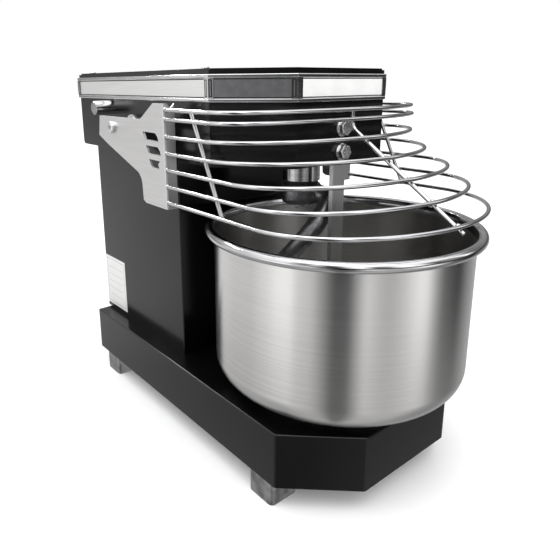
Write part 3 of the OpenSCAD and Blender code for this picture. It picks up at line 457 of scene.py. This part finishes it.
# Each has its finish, its edge's width in mm, the steps across it, and the angle in degrees past which
# an edge counts as sharp.
for name, node, skin, width, steps, sharper_than in (
        ("head_box", "head_shell", ENAMEL, 0.9, 3, 20),
        ("head_lid", "lid", ENAMEL, 0.7, 2, 20),
        ("rear_vent_cover", "rear_cover", ENAMEL, 0.35, 2, 40),
        ("underside_plate", "bottom_plate", ENAMEL, 0.3, 2, 40),
        ("cast_feet", "feet", CAST_ALLOY, 1.1, 3, 40),
        ("band_trim_rails", "trim_rails", POLISHED, 0.9, 3, 20),
        ("label_sheet", "rating_plate", LABEL, 0.08, 1, 40),
        ("pivot_flanged_bushes", "pivot_bushes", ZINC, 0.5, 2, 40),
        ("flat_breaker_bar", "breaker_bar", BAR_STEEL, 0.9, 3, 60),
        ("switch_panel", "switch_plate", PLATE_STEEL, 0.5, 2, 60),
        ("ribbed_gland", "cable_gland", RUBBER, 0.5, 2, 40)):
    stand_in(name, eased(node, width * MM, steps, sharper_than), node, skin)

# ---- Band ----

PANEL_EDGE, POST_EDGE = 0.25 * MM, 1.1 * MM  # How far in from a face's edge its groove starts.
GROOVE_W, GROOVE_D = 1.1 * MM, 0.25 * MM
PANEL_SHARE, POST_SHARE = 0.8, 0.6  # An outer face has at least this share of the largest face's area.


def grooved(node, margin, share):
    """A copy of a CAD node with a groove sunk round each outer face, a margin in from its edge. The groove's
    faces take the second finish, a black that paints the shadow in the gap.
    """
    bm = merged(node)
    largest = max(f.calc_area() for f in bm.faces)
    outer = [f for f in bm.faces if f.calc_area() > largest * share
             and f.normal.z ** 2 < 0.5 and f.normal.dot(f.calc_center_median() - head_middle) > 0]
    bmesh.ops.inset_individual(bm, faces=outer, thickness=margin, depth=0, use_even_offset=True)
    for sink in (-GROOVE_D, GROOVE_D):
        side = bmesh.ops.inset_individual(bm, faces=outer, thickness=GROOVE_W / 2, depth=sink,
                                          use_even_offset=True)["faces"]
        for face in side:
            # The groove's walls are made black as a painted shadow in the gap.
            face.material_index = 1
    return bm


# Each panel's groove takes the black rubber finish as a painted shadow along the rails.
for node, skin in (("side_panels", BAND_STEEL), ("corner_panels", CORNER_STEEL), ("front_panel", FILM),
                   ("rear_panel", BAND_STEEL)):
    stand_in("band_" + node, grooved(node, PANEL_EDGE, PANEL_SHARE), node, skin, RUBBER)
stand_in("band_trim_posts", grooved("trim_posts", POST_EDGE, POST_SHARE), "trim_posts", POLISHED, RUBBER)

# ---- Guard ----

GUARD_BEND = 2.2 * MM  # The outer radius of each side plate's bend, where its front flange starts.
PLATE_EASE = 0.35 * MM
for side, node in ((-1, "guard_plate_left"), (1, "guard_plate_right")):
    low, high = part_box(node)
    bm = merged(node)
    outer = low.x if side < 0 else high.x
    corner = [e for e in bm.edges
              if all(abs(v.co.x - outer) < NEAR and abs(v.co.y - low.y) < NEAR for v in e.verts)]
    round_edges(bm, corner, GUARD_BEND, 4)
    round_edges(bm, sharp_edges(bm, 50), PLATE_EASE)
    stand_in("slotted_" + node, bm, node, GUARD_STEEL)

WIRE = 2 * MM  # A wire's radius.
ARCH_STEPS = 72
WIRE_ARCH = [57, 53, 76.5, 96.5, 85.5, 88, 103]  # The depth of each wire's arch in mm, from the top down.
WIRES = len(WIRE_ARCH)
STRAIGHT = 2  # The two top wires reach equally far, and have squarer arches than the others' half ellipses.
SQUARE_ARCH, ROUND_ARCH = 2.5, 2
TOP_GAP = 9 * MM  # From the first wire down to the second. Below it each lies WIRE_DROP under the last.
WIRE_DROP = 16.4 * MM
TOP_REACH = 17 * MM  # How far the two top wires reach in front of the head.
THIRD_STEP = 16 * MM  # How much further the third wire reaches. Each one below it adds WIRE_REACH.
WIRE_REACH = 25 * MM
wire_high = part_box("guard_wires")[1]
wire_side, wire_top = wire_high.x - WIRE, wire_high.z - WIRE
flange_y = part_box("guard_plate_left")[0].y


def wire_height(k):
    """The height of a wire's middle, counted from the top wire, 0."""
    return wire_top if k == 0 else wire_top - TOP_GAP - WIRE_DROP * (k - 1)


def wire_front(k):
    """Where a wire's arch is furthest forward."""
    return head_low.y - TOP_REACH - (0 if k < STRAIGHT else THIRD_STEP + WIRE_REACH * (k - STRAIGHT))


def wire_path(k):
    """Straight from the right flange, round the front in an arch, and straight back to the left flange."""
    depth = WIRE_ARCH[k] * MM
    start = wire_front(k) + depth
    power = 2 / (SQUARE_ARCH if k < STRAIGHT else ROUND_ARCH)
    arch = []
    for i in range(ARCH_STEPS + 1):
        turn = pi * i / ARCH_STEPS
        across = (abs(cos(turn)) ** power) * (1 if cos(turn) > 0 else -1)
        arch.append((wire_side * across, start - depth * max(sin(turn), 0) ** power, wire_height(k)))
    return [(wire_side, flange_y, wire_height(k))] + arch + [(-wire_side, flange_y, wire_height(k))]


stand_in("bent_guard_wires", tube([wire_path(k) for k in range(WIRES)], WIRE), "guard_wires", POLISHED)

STRUT_OFF = 4.2 * MM  # From a wire's middle to the middle of the strut inside it.
STRUT_TOP, STRUT_FOOT = 37.5 * MM, 83.5 * MM  # Where a side strut starts and ends, from the flanges.
STRUT_PAST = 1 * MM  # How far a side strut runs past its top and bottom wires.
FRONT_PAST = 5 * MM  # How far the front strut runs past its lowest wire.
STRUT_BEND = 6 * MM  # The length of the front strut's bend on each side of its corner.
BEND_STEPS = 8
slope = Vector((0, -WIRE_REACH, -WIRE_DROP)).normalized()
side_strut = [Vector((0, flange_y - STRUT_TOP, wire_height(0) + STRUT_PAST)),
              Vector((0, flange_y - STRUT_FOOT, wire_height(WIRES - 1) - STRUT_PAST))]
strut_low = (Vector((0, wire_front(WIRES - 1), wire_height(WIRES - 1)))
             + Vector((0, -slope.z, slope.y)) * STRUT_OFF + slope * FRONT_PAST)
bend_y = wire_front(0) + STRUT_OFF
bend_z = strut_low.z + (bend_y - strut_low.y) * WIRE_DROP / WIRE_REACH
bend = [Vector((0, bend_y, bend_z + STRUT_BEND)), Vector((0, bend_y, bend_z)),
        Vector((0, bend_y, bend_z)) + slope * STRUT_BEND]
front_strut = [Vector((0, bend_y, wire_height(0)))]
front_strut += [bend[0].lerp(bend[1], t).lerp(bend[1].lerp(bend[2], t), t)
                for t in (i / BEND_STEPS for i in range(BEND_STEPS + 1))]
front_strut += [strut_low]
side_x = wire_side - STRUT_OFF
struts = tube([[Vector((s * side_x, 0, 0)) + p for p in side_strut] for s in (-1, 1)] + [front_strut], WIRE)

CROSS_WELD = (2.5, 2.5, 1.9)  # Half of a weld's size in mm, where two wires cross.
FLANGE_WELD = (2.8, 1.6, 2.8)  # The same where a wire meets a flange.
WELD_OFF = 0.6 * MM  # How far a flange weld's middle stands off the flange.


def weld(where, size):
    """A small smooth fillet of weld."""
    bm = bmesh.new()
    bmesh.ops.create_uvsphere(bm, u_segments=12, v_segments=8, radius=MM)
    bmesh.ops.scale(bm, vec=size, verts=bm.verts)
    return place(bm, where)


welds = []
for k in range(WIRES):
    z = wire_height(k)
    t = (side_strut[0].z - z) / (side_strut[0].z - side_strut[1].z)
    y = side_strut[0].lerp(side_strut[1], t).y
    welds += [weld((s * (wire_side - STRUT_OFF / 2), y, z), CROSS_WELD) for s in (-1, 1)]
    front_y = bend_y if z > bend_z else bend_y - (bend_z - z) * WIRE_REACH / WIRE_DROP
    welds.append(weld((0, (wire_front(k) + front_y) / 2, z), CROSS_WELD))
    welds += [weld((s * wire_side, flange_y - WELD_OFF, z), FLANGE_WELD) for s in (-1, 1)]
stand_in("guard_strut_rods", together(struts, *welds), "guard_struts", POLISHED, crease=50)

# ---- Guard pivots and stop rods ----

# A socket screw's proportions: the flat top and the socket as shares of the head's radius, and the dome
# and the socket's depth as shares of its height.
TOP_SHARE, SOCKET_SHARE = 0.62, 0.5
DOME_SHARE, SOCKET_DEPTH = 0.45, 0.55
DOME_STEPS, SCREW_STEPS = 6, 24


def socket_screw(radius, height):
    """A domed screw head on the plane z = 0, with a hexagonal socket in its top."""
    top, shoulder = radius * TOP_SHARE, height * (1 - DOME_SHARE)
    profile = [(radius, 0), (radius, shoulder)]
    for i in range(1, DOME_STEPS + 1):
        turn = pi / 2 * i / DOME_STEPS
        profile.append((top + (radius - top) * cos(turn), shoulder + height * DOME_SHARE * sin(turn)))
    bm = lathe(profile, SCREW_STEPS)
    rim = [e for e in bm.edges if e.is_boundary and e.verts[0].co.z > shoulder]
    cap = bmesh.ops.contextual_create(bm, geom=rim)["faces"]
    bmesh.ops.inset_region(bm, faces=cap, thickness=top - radius * SOCKET_SHARE, depth=0)
    flats = radius * SOCKET_SHARE * cos(pi / 6)
    for v in cap[0].verts:
        turn = (atan2(v.co.y, v.co.x) + 2 * pi) % (pi / 3) - pi / 6
        reach = flats / cos(turn)
        v.co.x, v.co.y = Vector((v.co.x, v.co.y)).normalized() * reach
    sunk = bmesh.ops.extrude_face_region(bm, geom=cap)
    floor = [v for v in sunk["geom"] if isinstance(v, bmesh.types.BMVert)]
    bmesh.ops.translate(bm, vec=(0, 0, -height * SOCKET_DEPTH), verts=floor)
    bmesh.ops.delete(bm, geom=[f for f in cap if f.is_valid], context="FACES_ONLY")
    bmesh.ops.recalc_face_normals(bm, faces=bm.faces)
    return bm


pin_low, pin_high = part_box("guard_pins")
pin_middle = (pin_low + pin_high) / 2
PIN_R, PIN_L = 5 * MM, 34 * MM
PIN_HEAD_R, PIN_HEAD_H = 6.5 * MM, 4 * MM
pins = []
for side, turn in ((-1, FACE_LEFT), (1, FACE_RIGHT)):
    spot = Vector((side * (pin_high.x - PIN_HEAD_H), pin_middle.y, pin_middle.z))
    shank = lathe([(0, 0), (PIN_R, 0), (PIN_R, -PIN_L), (0, -PIN_L)], SCREW_STEPS)
    pins.append(place(socket_screw(PIN_HEAD_R, PIN_HEAD_H), spot, turn))
    pins.append(place(shank, spot - Vector((side * NEAR, 0, 0)), turn))
stand_in("pivot_bolts", together(*pins), "guard_pins", ZINC)

rod_low, rod_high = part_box("stop_rods")
rod_middle = (rod_low + rod_high) / 2
ROD_R = (rod_high.z - rod_low.z) / 2
ROD_CHAMFER = 1.2 * MM
rod_l = rod_high.x - head_high.x
rod_profile = [(0, 0), (ROD_R, 0), (ROD_R, rod_l - ROD_CHAMFER), (ROD_R - ROD_CHAMFER, rod_l), (0, rod_l)]
rods = [place(lathe(rod_profile, steps=64), (side * head_high.x, rod_middle.y, rod_middle.z), turn)
        for side, turn in ((-1, FACE_LEFT), (1, FACE_RIGHT))]
stand_in("polished_stop_rods", together(*rods), "stop_rods", POLISHED)

# ---- Bowl ----

bowl_low, bowl_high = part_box("bowl")
bowl_axis = Vector((0, (bowl_low.y + bowl_high.y) / 2, 0))
RIM_R = 137.5 * MM
BEAD = 4.9 * MM  # The radius of the rolled rim.
WALL_R, WALL = 128.5 * MM, 1.2 * MM
BOWL_CORNER = 25 * MM
CORNER_STEPS, BEAD_STEPS, BOWL_STEPS = 12, 22, 160
BEAD_START, BEAD_END = 222, 510  # The rolled rim's arc in degrees, from the outer wall round to the inner.
BEAD_FOOT = 3.6 * MM  # How far below the rim's middle the outer wall runs into it.
INNER_FOOT, INNER_LIP = 5 * MM, 1.5 * MM  # The same inside, where the wall runs into the rim in two steps.
LIP_IN = 0.9 * WALL  # The wall's thickness at the second step.
WALL_RING = 30 * MM  # One more ring in the outer wall, this far below the rim's middle.
SHINE = 4.5 * MM  # The polish on the rim ends this far below its middle.
rim_z = bowl_high.z - BEAD
bead_centre = (RIM_R - BEAD, rim_z)
corner_centre = (WALL_R - BOWL_CORNER, bowl_low.z + BOWL_CORNER)
FLOOR_RINGS = [r * MM for r in (0, 4, 12, 25, 45, 70, 90)]
bowl_profile = [(r, bowl_low.z) for r in FLOOR_RINGS]
bowl_profile += arc(corner_centre, BOWL_CORNER, -90, 0, CORNER_STEPS)
bowl_profile += [(WALL_R, rim_z - WALL_RING), (WALL_R, rim_z - BEAD_FOOT)]
bowl_profile += arc(bead_centre, BEAD, BEAD_START, BEAD_END, BEAD_STEPS)
bowl_profile += [(WALL_R - LIP_IN, rim_z - INNER_LIP), (WALL_R - WALL, rim_z - INNER_FOOT)]
bowl_profile += arc(corner_centre, BOWL_CORNER - WALL, 0, -90, CORNER_STEPS)
bowl_profile += [(r, bowl_low.z + WALL) for r in reversed(FLOOR_RINGS)]


def unroll(mesh, axis, radius):
    """Lays the map "round" on a turned piece, in metres: the way round, then up and outwards."""
    layer = mesh.uv_layers.new(name="round")
    for face in mesh.polygons:
        middle = face.center - axis
        facing = atan2(middle.x, -middle.y)
        for corner in face.loop_indices:
            spot = mesh.vertices[mesh.loops[corner].vertex_index].co - axis
            turn = atan2(spot.x, -spot.y) if spot.xy.length > WELDED else facing
            turn -= 2 * pi * round((turn - facing) / (2 * pi))
            layer.data[corner].uv = (turn * radius, spot.z + spot.xy.length)


bowl_shape = place(lathe(bowl_profile, BOWL_STEPS), bowl_axis)
# The rolled rim takes the second finish, and the wall and floor inside it the third, whose darker colour is
# painted shade.
for face in bowl_shape.faces:
    middle = face.calc_center_median() - bowl_axis
    if middle.z > rim_z - SHINE and middle.xy.length > WALL_R - WALL:
        face.material_index = 1
    elif face.normal.xy.dot(middle.xy) < 0 or (face.normal.z > 0.5 and middle.z < corner_centre[1]):
        face.material_index = 2
# The inside's darker finish is painted shade, not a different metal.
bowl = stand_in("spun_bowl", bowl_shape, "bowl", BOWL_STEEL, POLISHED, BOWL_INSIDE_SHADED, crease=60)
unroll(bowl.data, bowl_axis, WALL_R)

disc_low, disc_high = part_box("bowl_disc")
DISC_R = 90 * MM
EASE = 0.8 * MM  # The broken edge of a turned piece.
disc_profile = [(0, disc_low.z), (DISC_R - EASE, disc_low.z), (DISC_R, disc_low.z + EASE),
                (DISC_R, disc_high.z - EASE), (DISC_R - EASE, disc_high.z), (0, disc_high.z)]
stand_in("driven_disc", place(lathe(disc_profile, steps=96), bowl_axis), "bowl_disc", CAST_ALLOY)

# ---- Spindle and hook ----

spindle_low, spindle_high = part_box("spindle")
spindle_axis = Vector((0, (spindle_low.y + spindle_high.y) / 2, 0))
SPINDLE_R = 10 * MM
COLLAR_R, COLLAR_L = (spindle_high.x - spindle_low.x) / 2, 23 * MM
COLLAR_GAP = 0.3 * MM  # Between the collar and the underside of the head.
NECK_H, NECK_IN = 2.7 * MM, 2 * MM  # The rubber seal between collar and hub, and how far in it lies.
HUB_R, HUB_H = 21 * MM, 22 * MM
collar_top = head_low.z - COLLAR_GAP
collar_z = collar_top - COLLAR_L
hub_top = collar_z - NECK_H
hub_z = hub_top - HUB_H
collar_profile = [(0, spindle_high.z), (SPINDLE_R, spindle_high.z), (SPINDLE_R, collar_top),
                  (COLLAR_R - EASE, collar_top), (COLLAR_R, collar_top - EASE),
                  (COLLAR_R, collar_z + EASE), (COLLAR_R - EASE, collar_z),
                  (COLLAR_R - NECK_IN, collar_z), (COLLAR_R - NECK_IN, hub_top), (0, hub_top)]
collar_shape = place(lathe(collar_profile, steps=96), spindle_axis)
for face in collar_shape.faces:
    face.material_index = int(face.calc_center_median().z < collar_z - NEAR)
collar = stand_in("spindle_collar", collar_shape, "spindle", COLLAR_STEEL, RUBBER)
unroll(collar.data, spindle_axis, COLLAR_R)

HOOK_R, BAR_R = 32 * MM, 10 * MM  # The spiral's radius to the bar's middle, and the bar's own.
ARM_START, ARM_FALL = 14 * MM, 6 * MM  # Where the arm leaves the hub's middle, and how far it falls.
ARM_ANGLE, ARM_TURN = -59, 12  # Where the arm points, and how far it turns on its way out, in degrees.
ARM_UP = 0.4 * MM  # How much higher than the hub's foot the arm's underside starts.
TWIST = 1.5  # Degrees that the spiral turns for each mm that it falls.
arm_z = hub_z + BAR_R + ARM_UP
helix_z = arm_z - ARM_FALL
helix_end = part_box("hook")[0].z + BAR_R
ROOT_STEPS, HELIX_STEPS, TIP_STEPS = 14, 120, 10
TIP_CLOSED = 0.97  # How nearly the round tip closes, as a share of its radius.
SKIN = 1.1 * MM  # The cell of the skin that runs over hub and arm as one casting.


def hook_point(radius, angle, z):
    """A point about the spindle, by its radius, its angle in degrees and its height."""
    return spindle_axis + Vector((radius * cos(radians(angle)), radius * sin(radians(angle)), z))


hook_route = []
for i in range(ROOT_STEPS):
    t = i / ROOT_STEPS
    radius = ARM_START + (HOOK_R - ARM_START) * sin(pi / 2 * t)
    hook_route.append(hook_point(radius, ARM_ANGLE - ARM_TURN * t, arm_z - ARM_FALL * t * t))
for i in range(HELIX_STEPS + 1):
    z = helix_z + (helix_end - helix_z) * i / HELIX_STEPS
    hook_route.append(hook_point(HOOK_R, ARM_ANGLE - ARM_TURN - TWIST * (helix_z - z) / MM, z))
last = len(hook_route) - 1
swell = [sqrt(1 - min(max(i - last + TIP_STEPS, 0) / TIP_STEPS, TIP_CLOSED) ** 2) for i in range(last + 1)]
# The hub's cast edges, as how far in from its radius and how far from its foot or top, in mm.
FOOT_EDGE = ((3, 0), (0.8, 1.4), (0, 4))
TOP_EDGE = ((0, 2), (1.2, 0.6), (2.2, 0))
hub_profile = [(0, hub_z)] + [(HUB_R - inset * MM, hub_z + up * MM) for inset, up in FOOT_EDGE]
hub_profile += [(HUB_R - inset * MM, hub_top - down * MM) for inset, down in TOP_EDGE] + [(0, hub_top)]
hub_shape = place(lathe(hub_profile, steps=96), spindle_axis)
hook_parts = together(hub_shape, tube([hook_route], BAR_R, swell, sides=8))
rough_mesh = bpy.data.meshes.new("hook_rough")
hook_parts.to_mesh(rough_mesh)
hook_parts.free()
rough = bpy.data.objects.new("hook_rough", rough_mesh)
bpy.context.collection.objects.link(rough)
skin = rough.modifiers.new("skin", "REMESH")
skin.mode, skin.voxel_size = "VOXEL", SKIN
settle = rough.modifiers.new("settle", "SMOOTH")
settle.factor, settle.iterations = 0.5, 6
bpy.context.view_layer.update()
hook_mesh = bpy.data.meshes.new_from_object(rough.evaluated_get(bpy.context.evaluated_depsgraph_get()))
bpy.data.objects.remove(rough)
stand_in("cast_spiral_hook", hook_mesh, "hook", CAST_HOOK, crease=60)

# ---- Hex bolts ----

HEX_EASE = 0.25 * MM


def hex_head(across_flats, height, ease):
    """A hexagonal bolt head standing on z = 0, its upper corners turned off."""
    bm = bmesh.new()
    radius = across_flats / 2 / cos(pi / 6)
    bmesh.ops.create_cone(bm, cap_ends=True, segments=6, radius1=radius, radius2=radius, depth=height)
    bmesh.ops.translate(bm, vec=(0, 0, height / 2), verts=bm.verts)
    top = [e for e in bm.edges if all(v.co.z > height / 2 for v in e.verts)]
    round_edges(bm, top, ease)
    round_edges(bm, sharp_edges(bm, 50), HEX_EASE)
    return bm


def washer(radius, bore, height):
    """A flat ring standing on z = 0, its upper outer edge broken."""
    ease = height / 4
    profile = [(bore, 0), (radius, 0), (radius, height - ease), (radius - ease, height), (bore, height)]
    return lathe(profile, steps=48, closed=True)


# The M6 bolt under the hub, which holds the spiral on its spindle.
M6_R, M6_AF, M6_H, M6_EASE = 3 * MM, 11 * MM, 5 * MM, 0.9 * MM
M6_WASHER_R, M6_WASHER_H = 7 * MM, 1.2 * MM
HANG = Matrix.Rotation(pi, 4, "X")
under_hub = spindle_axis + Vector((0, 0, hub_z))
under_washer = under_hub - Vector((0, 0, M6_WASHER_H))
hook_screw = together(place(washer(M6_WASHER_R, M6_R, M6_WASHER_H), under_hub, HANG),
                      place(hex_head(M6_AF, M6_H, M6_EASE), under_washer, HANG))
stand_in("hook_hex_bolt", hook_screw, "hook_bolt", ZINC)

# The two M8 bolts through the front of the head, with their nuts inside it.
M8_R, M8_AF, M8_H, M8_EASE = 4 * MM, 13 * MM, 5.3 * MM, 1.2 * MM
M8_WASHER_R, M8_WASHER_H = 8.5 * MM, 1.6 * MM
M8_L = 14.5 * MM  # The shank, from the head's front.
NUT_H, NUT_EASE, NUT_IN = 6.5 * MM, 1 * MM, 7 * MM  # The nut starts NUT_IN behind the head's front.
front_low, front_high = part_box("breaker_bolts")
bolts = []
for z, turned in ((front_high.z - M8_WASHER_R, 8), (front_low.z + M8_WASHER_R, 23)):
    spot = Vector((0, head_low.y, z))
    tightened = FACE_FRONT @ Matrix.Rotation(radians(turned), 4, "Z")
    shank = lathe([(0, 0), (M8_R, 0), (M8_R, -M8_L), (0, -M8_L)], SCREW_STEPS)
    bolts += [place(washer(M8_WASHER_R, M8_R, M8_WASHER_H), spot, FACE_FRONT),
              place(hex_head(M8_AF, M8_H, M8_EASE), spot - Vector((0, M8_WASHER_H, 0)), tightened),
              place(hex_head(M8_AF, NUT_H, NUT_EASE), spot + Vector((0, NUT_IN, 0)), FACE_REAR),
              place(shank, spot, FACE_FRONT)]
stand_in("breaker_hex_bolts", together(*bolts), "breaker_bolts", ZINC)

# ---- Small screws and buttons ----

LID_SCREW_R, LID_SCREW_H = 3.75 * MM, 2 * MM
screws_low, screws_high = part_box("lid_screws")
lid_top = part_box("lid")[1].z
screw_x, screw_ys = screws_high.x - LID_SCREW_R, (screws_low.y + LID_SCREW_R, screws_high.y - LID_SCREW_R)
lid_screws = [place(socket_screw(LID_SCREW_R, LID_SCREW_H), (side * screw_x, y, lid_top))
              for side in (-1, 1) for y in screw_ys]
stand_in("lid_socket_screws", together(*lid_screws), "lid_screws", ZINC)

COVER_SCREW_R, COVER_SCREW_H = 4 * MM, 2.4 * MM
screws_low, screws_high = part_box("cover_screws")
screw_zs = (screws_low.z + COVER_SCREW_R, (screws_low.z + screws_high.z) / 2, screws_high.z - COVER_SCREW_R)
cover_screws = [place(socket_screw(COVER_SCREW_R, COVER_SCREW_H),
                      (side * (screws_high.x - COVER_SCREW_R), cover_high.y, z), FACE_REAR)
                for side in (-1, 1) for z in screw_zs]
stand_in("cover_socket_screws", together(*cover_screws), "cover_screws", ZINC)

STEM_R = 4 * MM  # The button's stem.
CAP_ROUND, CAP_ROUND_STEPS = 1.6 * MM, 5  # The rounding of its cap's edge.
CAP_ROOT = 1 * MM  # How far inside the column's wall its cap starts.
DISH_SHARE = 0.6  # The finger dish falls faster inside this share of the cap's radius.
DISH_EDGE, DISH_DEPTH = 0.3 * MM, 0.8 * MM
BEZEL_GAP, BEZEL_W, BEZEL_H = 0.4 * MM, 3 * MM, 2.2 * MM  # Its inner and outer edge stand off the cap.
BEZEL_CHAMFER = 1 * MM
plate_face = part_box("switch_plate")[1].x
for node, skin in (("start_button", GREEN_PLASTIC), ("stop_button", RED_PLASTIC)):
    low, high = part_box(node)
    root = Vector((column_high.x - CAP_ROOT, (low.y + high.y) / 2, (low.z + high.z) / 2))
    cap_r, cap_h, stem_end = (high.y - low.y) / 2, high.x - root.x, low.x - root.x
    profile = [(0, stem_end), (STEM_R, stem_end), (STEM_R, 0), (cap_r, 0), (cap_r, cap_h - CAP_ROUND)]
    profile += arc((cap_r - CAP_ROUND, cap_h - CAP_ROUND), CAP_ROUND, 15, 90, CAP_ROUND_STEPS)
    profile += [(cap_r * DISH_SHARE, cap_h - DISH_EDGE), (0, cap_h - DISH_DEPTH)]
    stand_in("pressed_" + node, place(lathe(profile, steps=48), root, FACE_RIGHT), node, skin)
    inner, outer = cap_r + BEZEL_GAP, cap_r + BEZEL_W
    bezel = lathe([(inner, 0), (outer, 0), (outer, BEZEL_H - BEZEL_CHAMFER),
                   (outer - BEZEL_CHAMFER, BEZEL_H), (inner, BEZEL_H)], steps=64, closed=True)
    show(node + "_bezel", place(bezel, (plate_face, root.y, root.z), FACE_RIGHT), "switch_plate", POLISHED)

# ---- Floor, studio and camera ----

FLOOR_SIZE = 30
floor_shape = bmesh.new()
bmesh.ops.create_grid(floor_shape, x_segments=1, y_segments=1, size=FLOOR_SIZE)
floor_mesh = bpy.data.meshes.new("studio_floor")
floor_shape.to_mesh(floor_mesh)
floor_shape.free()
floor = bpy.data.objects.new("studio_floor", floor_mesh)
bpy.context.collection.objects.link(floor)
# White matt paper on the studio's floor, lit a little from below so that only the contact shadow shows.
floor_paint = finish("white_matt_paper", (400, "#f5f5f5", "#f7f7f7"), (200, 0.85, 0.95), (3, 0.1, 0.01),
                     Specular_IOR_Level=0.0, Emission_Color=(1, 1, 1, 1), Emission_Strength=0.1)
floor_mesh.materials.append(floor_paint)
floor.visible_glossy = False

# The studio round the machine, as its metal mirrors it, from above downwards: the ceiling, windows 12 to
# 30 degrees up, the walls at level, windows 10 to 20 degrees down, and what the floor gives back. Each
# stop is a compass angle from +X in degrees, and the brightness seen that way. The windows stand behind
# the machine's left side and to the right of the camera, with dark flags between them.
CEILING_GLOW = 1.7
HIGH_WINDOWS = [(-180, 1.6), (-168, 0.1), (-157, 1.1), (-148, 0.05), (-140, 0.1), (-124, 2.4), (-112, 0.1),
                (-101, 0.3), (-90, 2.2), (-76, 1.6), (-64, 0.1), (-55, 0.3), (-48, 0.4), (-38, 0.4),
                (-30, 2.2), (-20, 0.2), (60, 0.5), (120, 0.7), (165, 1.5), (180, 1.6)]
WALLS = [(-180, 1.0), (-160, 0.3), (-140, 0.04), (-60, 0.04), (-20, 0.06), (60, 0.25), (112, 0.3),
         (122, 1.05), (180, 1.0)]
LOW_WINDOWS = [(-180, 1.8), (-174, 1.15), (-167, 1.08), (-161, 1.0), (-155, 0.5), (-149, 0.25), (-143, 0.02),
               (-130, 0.0), (-123, 0.6), (-116, 1.3), (-108, 0.95), (-101, 0.7), (-94, 0.7), (-87, 0.9),
               (-79, 1.25), (-70, 1.7), (-63, 1.6), (-55, 0.7), (-46, 0.15), (-25, 0.0), (-10, 0.3),
               (20, 0.6), (104, 0.95), (119, 0.82), (131, 0.85), (141, 0.85), (150, 1.1), (159, 1.3),
               (168, 1.7), (180, 1.8)]
GROUND = [(-180, 0.6), (-155, 0.5), (-143, 0.18), (-130, 0.18), (-115, 0.6), (-70, 0.6), (-54, 0.34),
          (-25, 0.28), (5, 0.5), (100, 0.47), (170, 0.47), (180, 0.6)]
world = bpy.data.worlds.new("soft_studio")
bpy.context.scene.world = world
world.use_nodes = True
sky = world.node_tree
sky.nodes.clear()
way = add(sky, "ShaderNodeTexCoord")
axes = add(sky, "ShaderNodeSeparateXYZ", links={"Vector": way.outputs["Generated"]})
compass = add(sky, "ShaderNodeMath", {"operation": "ARCTAN2"}, {0: axes.outputs["Y"], 1: axes.outputs["X"]})
share = add(sky, "ShaderNodeMath", {"operation": "MULTIPLY_ADD", 1: 0.5 / pi, 2: 0.5},
            {0: compass.outputs[0]})


def ring(marks):
    """Light that changes with the compass angle."""
    ramp = add(sky, "ShaderNodeValToRGB", links={"Fac": share.outputs[0]})
    stops = ramp.color_ramp.elements
    while len(stops) < len(marks):
        stops.new(0.5)
    for stop, (angle, glow) in zip(stops, marks):
        stop.position, stop.color = angle / 360 + 0.5, (glow, glow, glow, 1)
    return ramp.outputs["Color"]


def stack(below, above, low, high):
    """Fades from one light to another between two heights on the sky's unit sphere."""
    rise = add(sky, "ShaderNodeMapRange", {"From Min": low, "From Max": high}, {"Value": axes.outputs["Z"]})
    fade = add(sky, "ShaderNodeMix", {"data_type": "RGBA"}, {0: rise.outputs["Result"]})
    for socket, light in ((6, below), (7, above)):
        if isinstance(light, float):
            fade.inputs[socket].default_value = (light, light, light, 1)
        else:
            sky.links.new(light, fade.inputs[socket])
    return fade.outputs[2]


room = stack(ring(GROUND), ring(LOW_WINDOWS), -0.5, -0.36)
room = stack(room, ring(WALLS), -0.16, -0.04)
room = stack(room, ring(HIGH_WINDOWS), 0.1, 0.2)
room = stack(room, CEILING_GLOW, 0.5, 0.75)
lit = add(sky, "ShaderNodeBackground", {"Strength": 1.0}, {"Color": room})
plain = add(sky, "ShaderNodeBackground", {"Color": (1, 1, 1, 1), "Strength": 1.0})
ray = add(sky, "ShaderNodeLightPath")
mixed = add(sky, "ShaderNodeMixShader",
            links={0: ray.outputs["Is Camera Ray"], 1: lit.outputs[0], 2: plain.outputs[0]})
add(sky, "ShaderNodeOutputWorld", links={"Surface": mixed.outputs[0]})


def lamp(name, width, depth, power, where, aim):
    """A rectangular soft lamp at a place, turned to face a point."""
    light = bpy.data.lights.new(name, "AREA")
    light.shape, light.size, light.size_y, light.energy = "RECTANGLE", width, depth, power
    carrier = bpy.data.objects.new(name, light)
    bpy.context.collection.objects.link(carrier)
    carrier.location = where
    carrier.rotation_euler = (Vector(aim) - carrier.location).to_track_quat("-Z", "Y").to_euler()
    return carrier


MIDDLE = (0, 0, 0.2)
lamp("overhead_softbox", 1.6, 1.2, 9, (-0.5, -0.3, 1.7), MIDDLE)
# A thin bright strip behind and above, seen only as the fine line of light along folds, wires and rims.
lamp("rim_strip", 1.5, 0.05, 13, (-0.25, 1.35, 1.25), MIDDLE).visible_diffuse = False

bpy.context.scene.view_settings.view_transform = "Standard"

lens = bpy.data.cameras.new("camera")
lens.sensor_width, lens.lens = 36, 35.18
lens.shift_x, lens.shift_y = 0.0643, -0.1005
lens.clip_start = 0.01
camera = bpy.data.objects.new("camera", lens)
bpy.context.collection.objects.link(camera)
STAND = (-0.4114, -0.4688, 0.3864)
YAW, PITCH, ROLL = radians(-38.70), radians(-14.41), radians(0.43)
camera.matrix_world = (Matrix.Translation(STAND) @ Matrix.Rotation(YAW, 4, "Z")
                       @ Matrix.Rotation(pi / 2 + PITCH, 4, "X") @ Matrix.Rotation(-ROLL, 4, "Z"))
bpy.context.scene.camera = camera
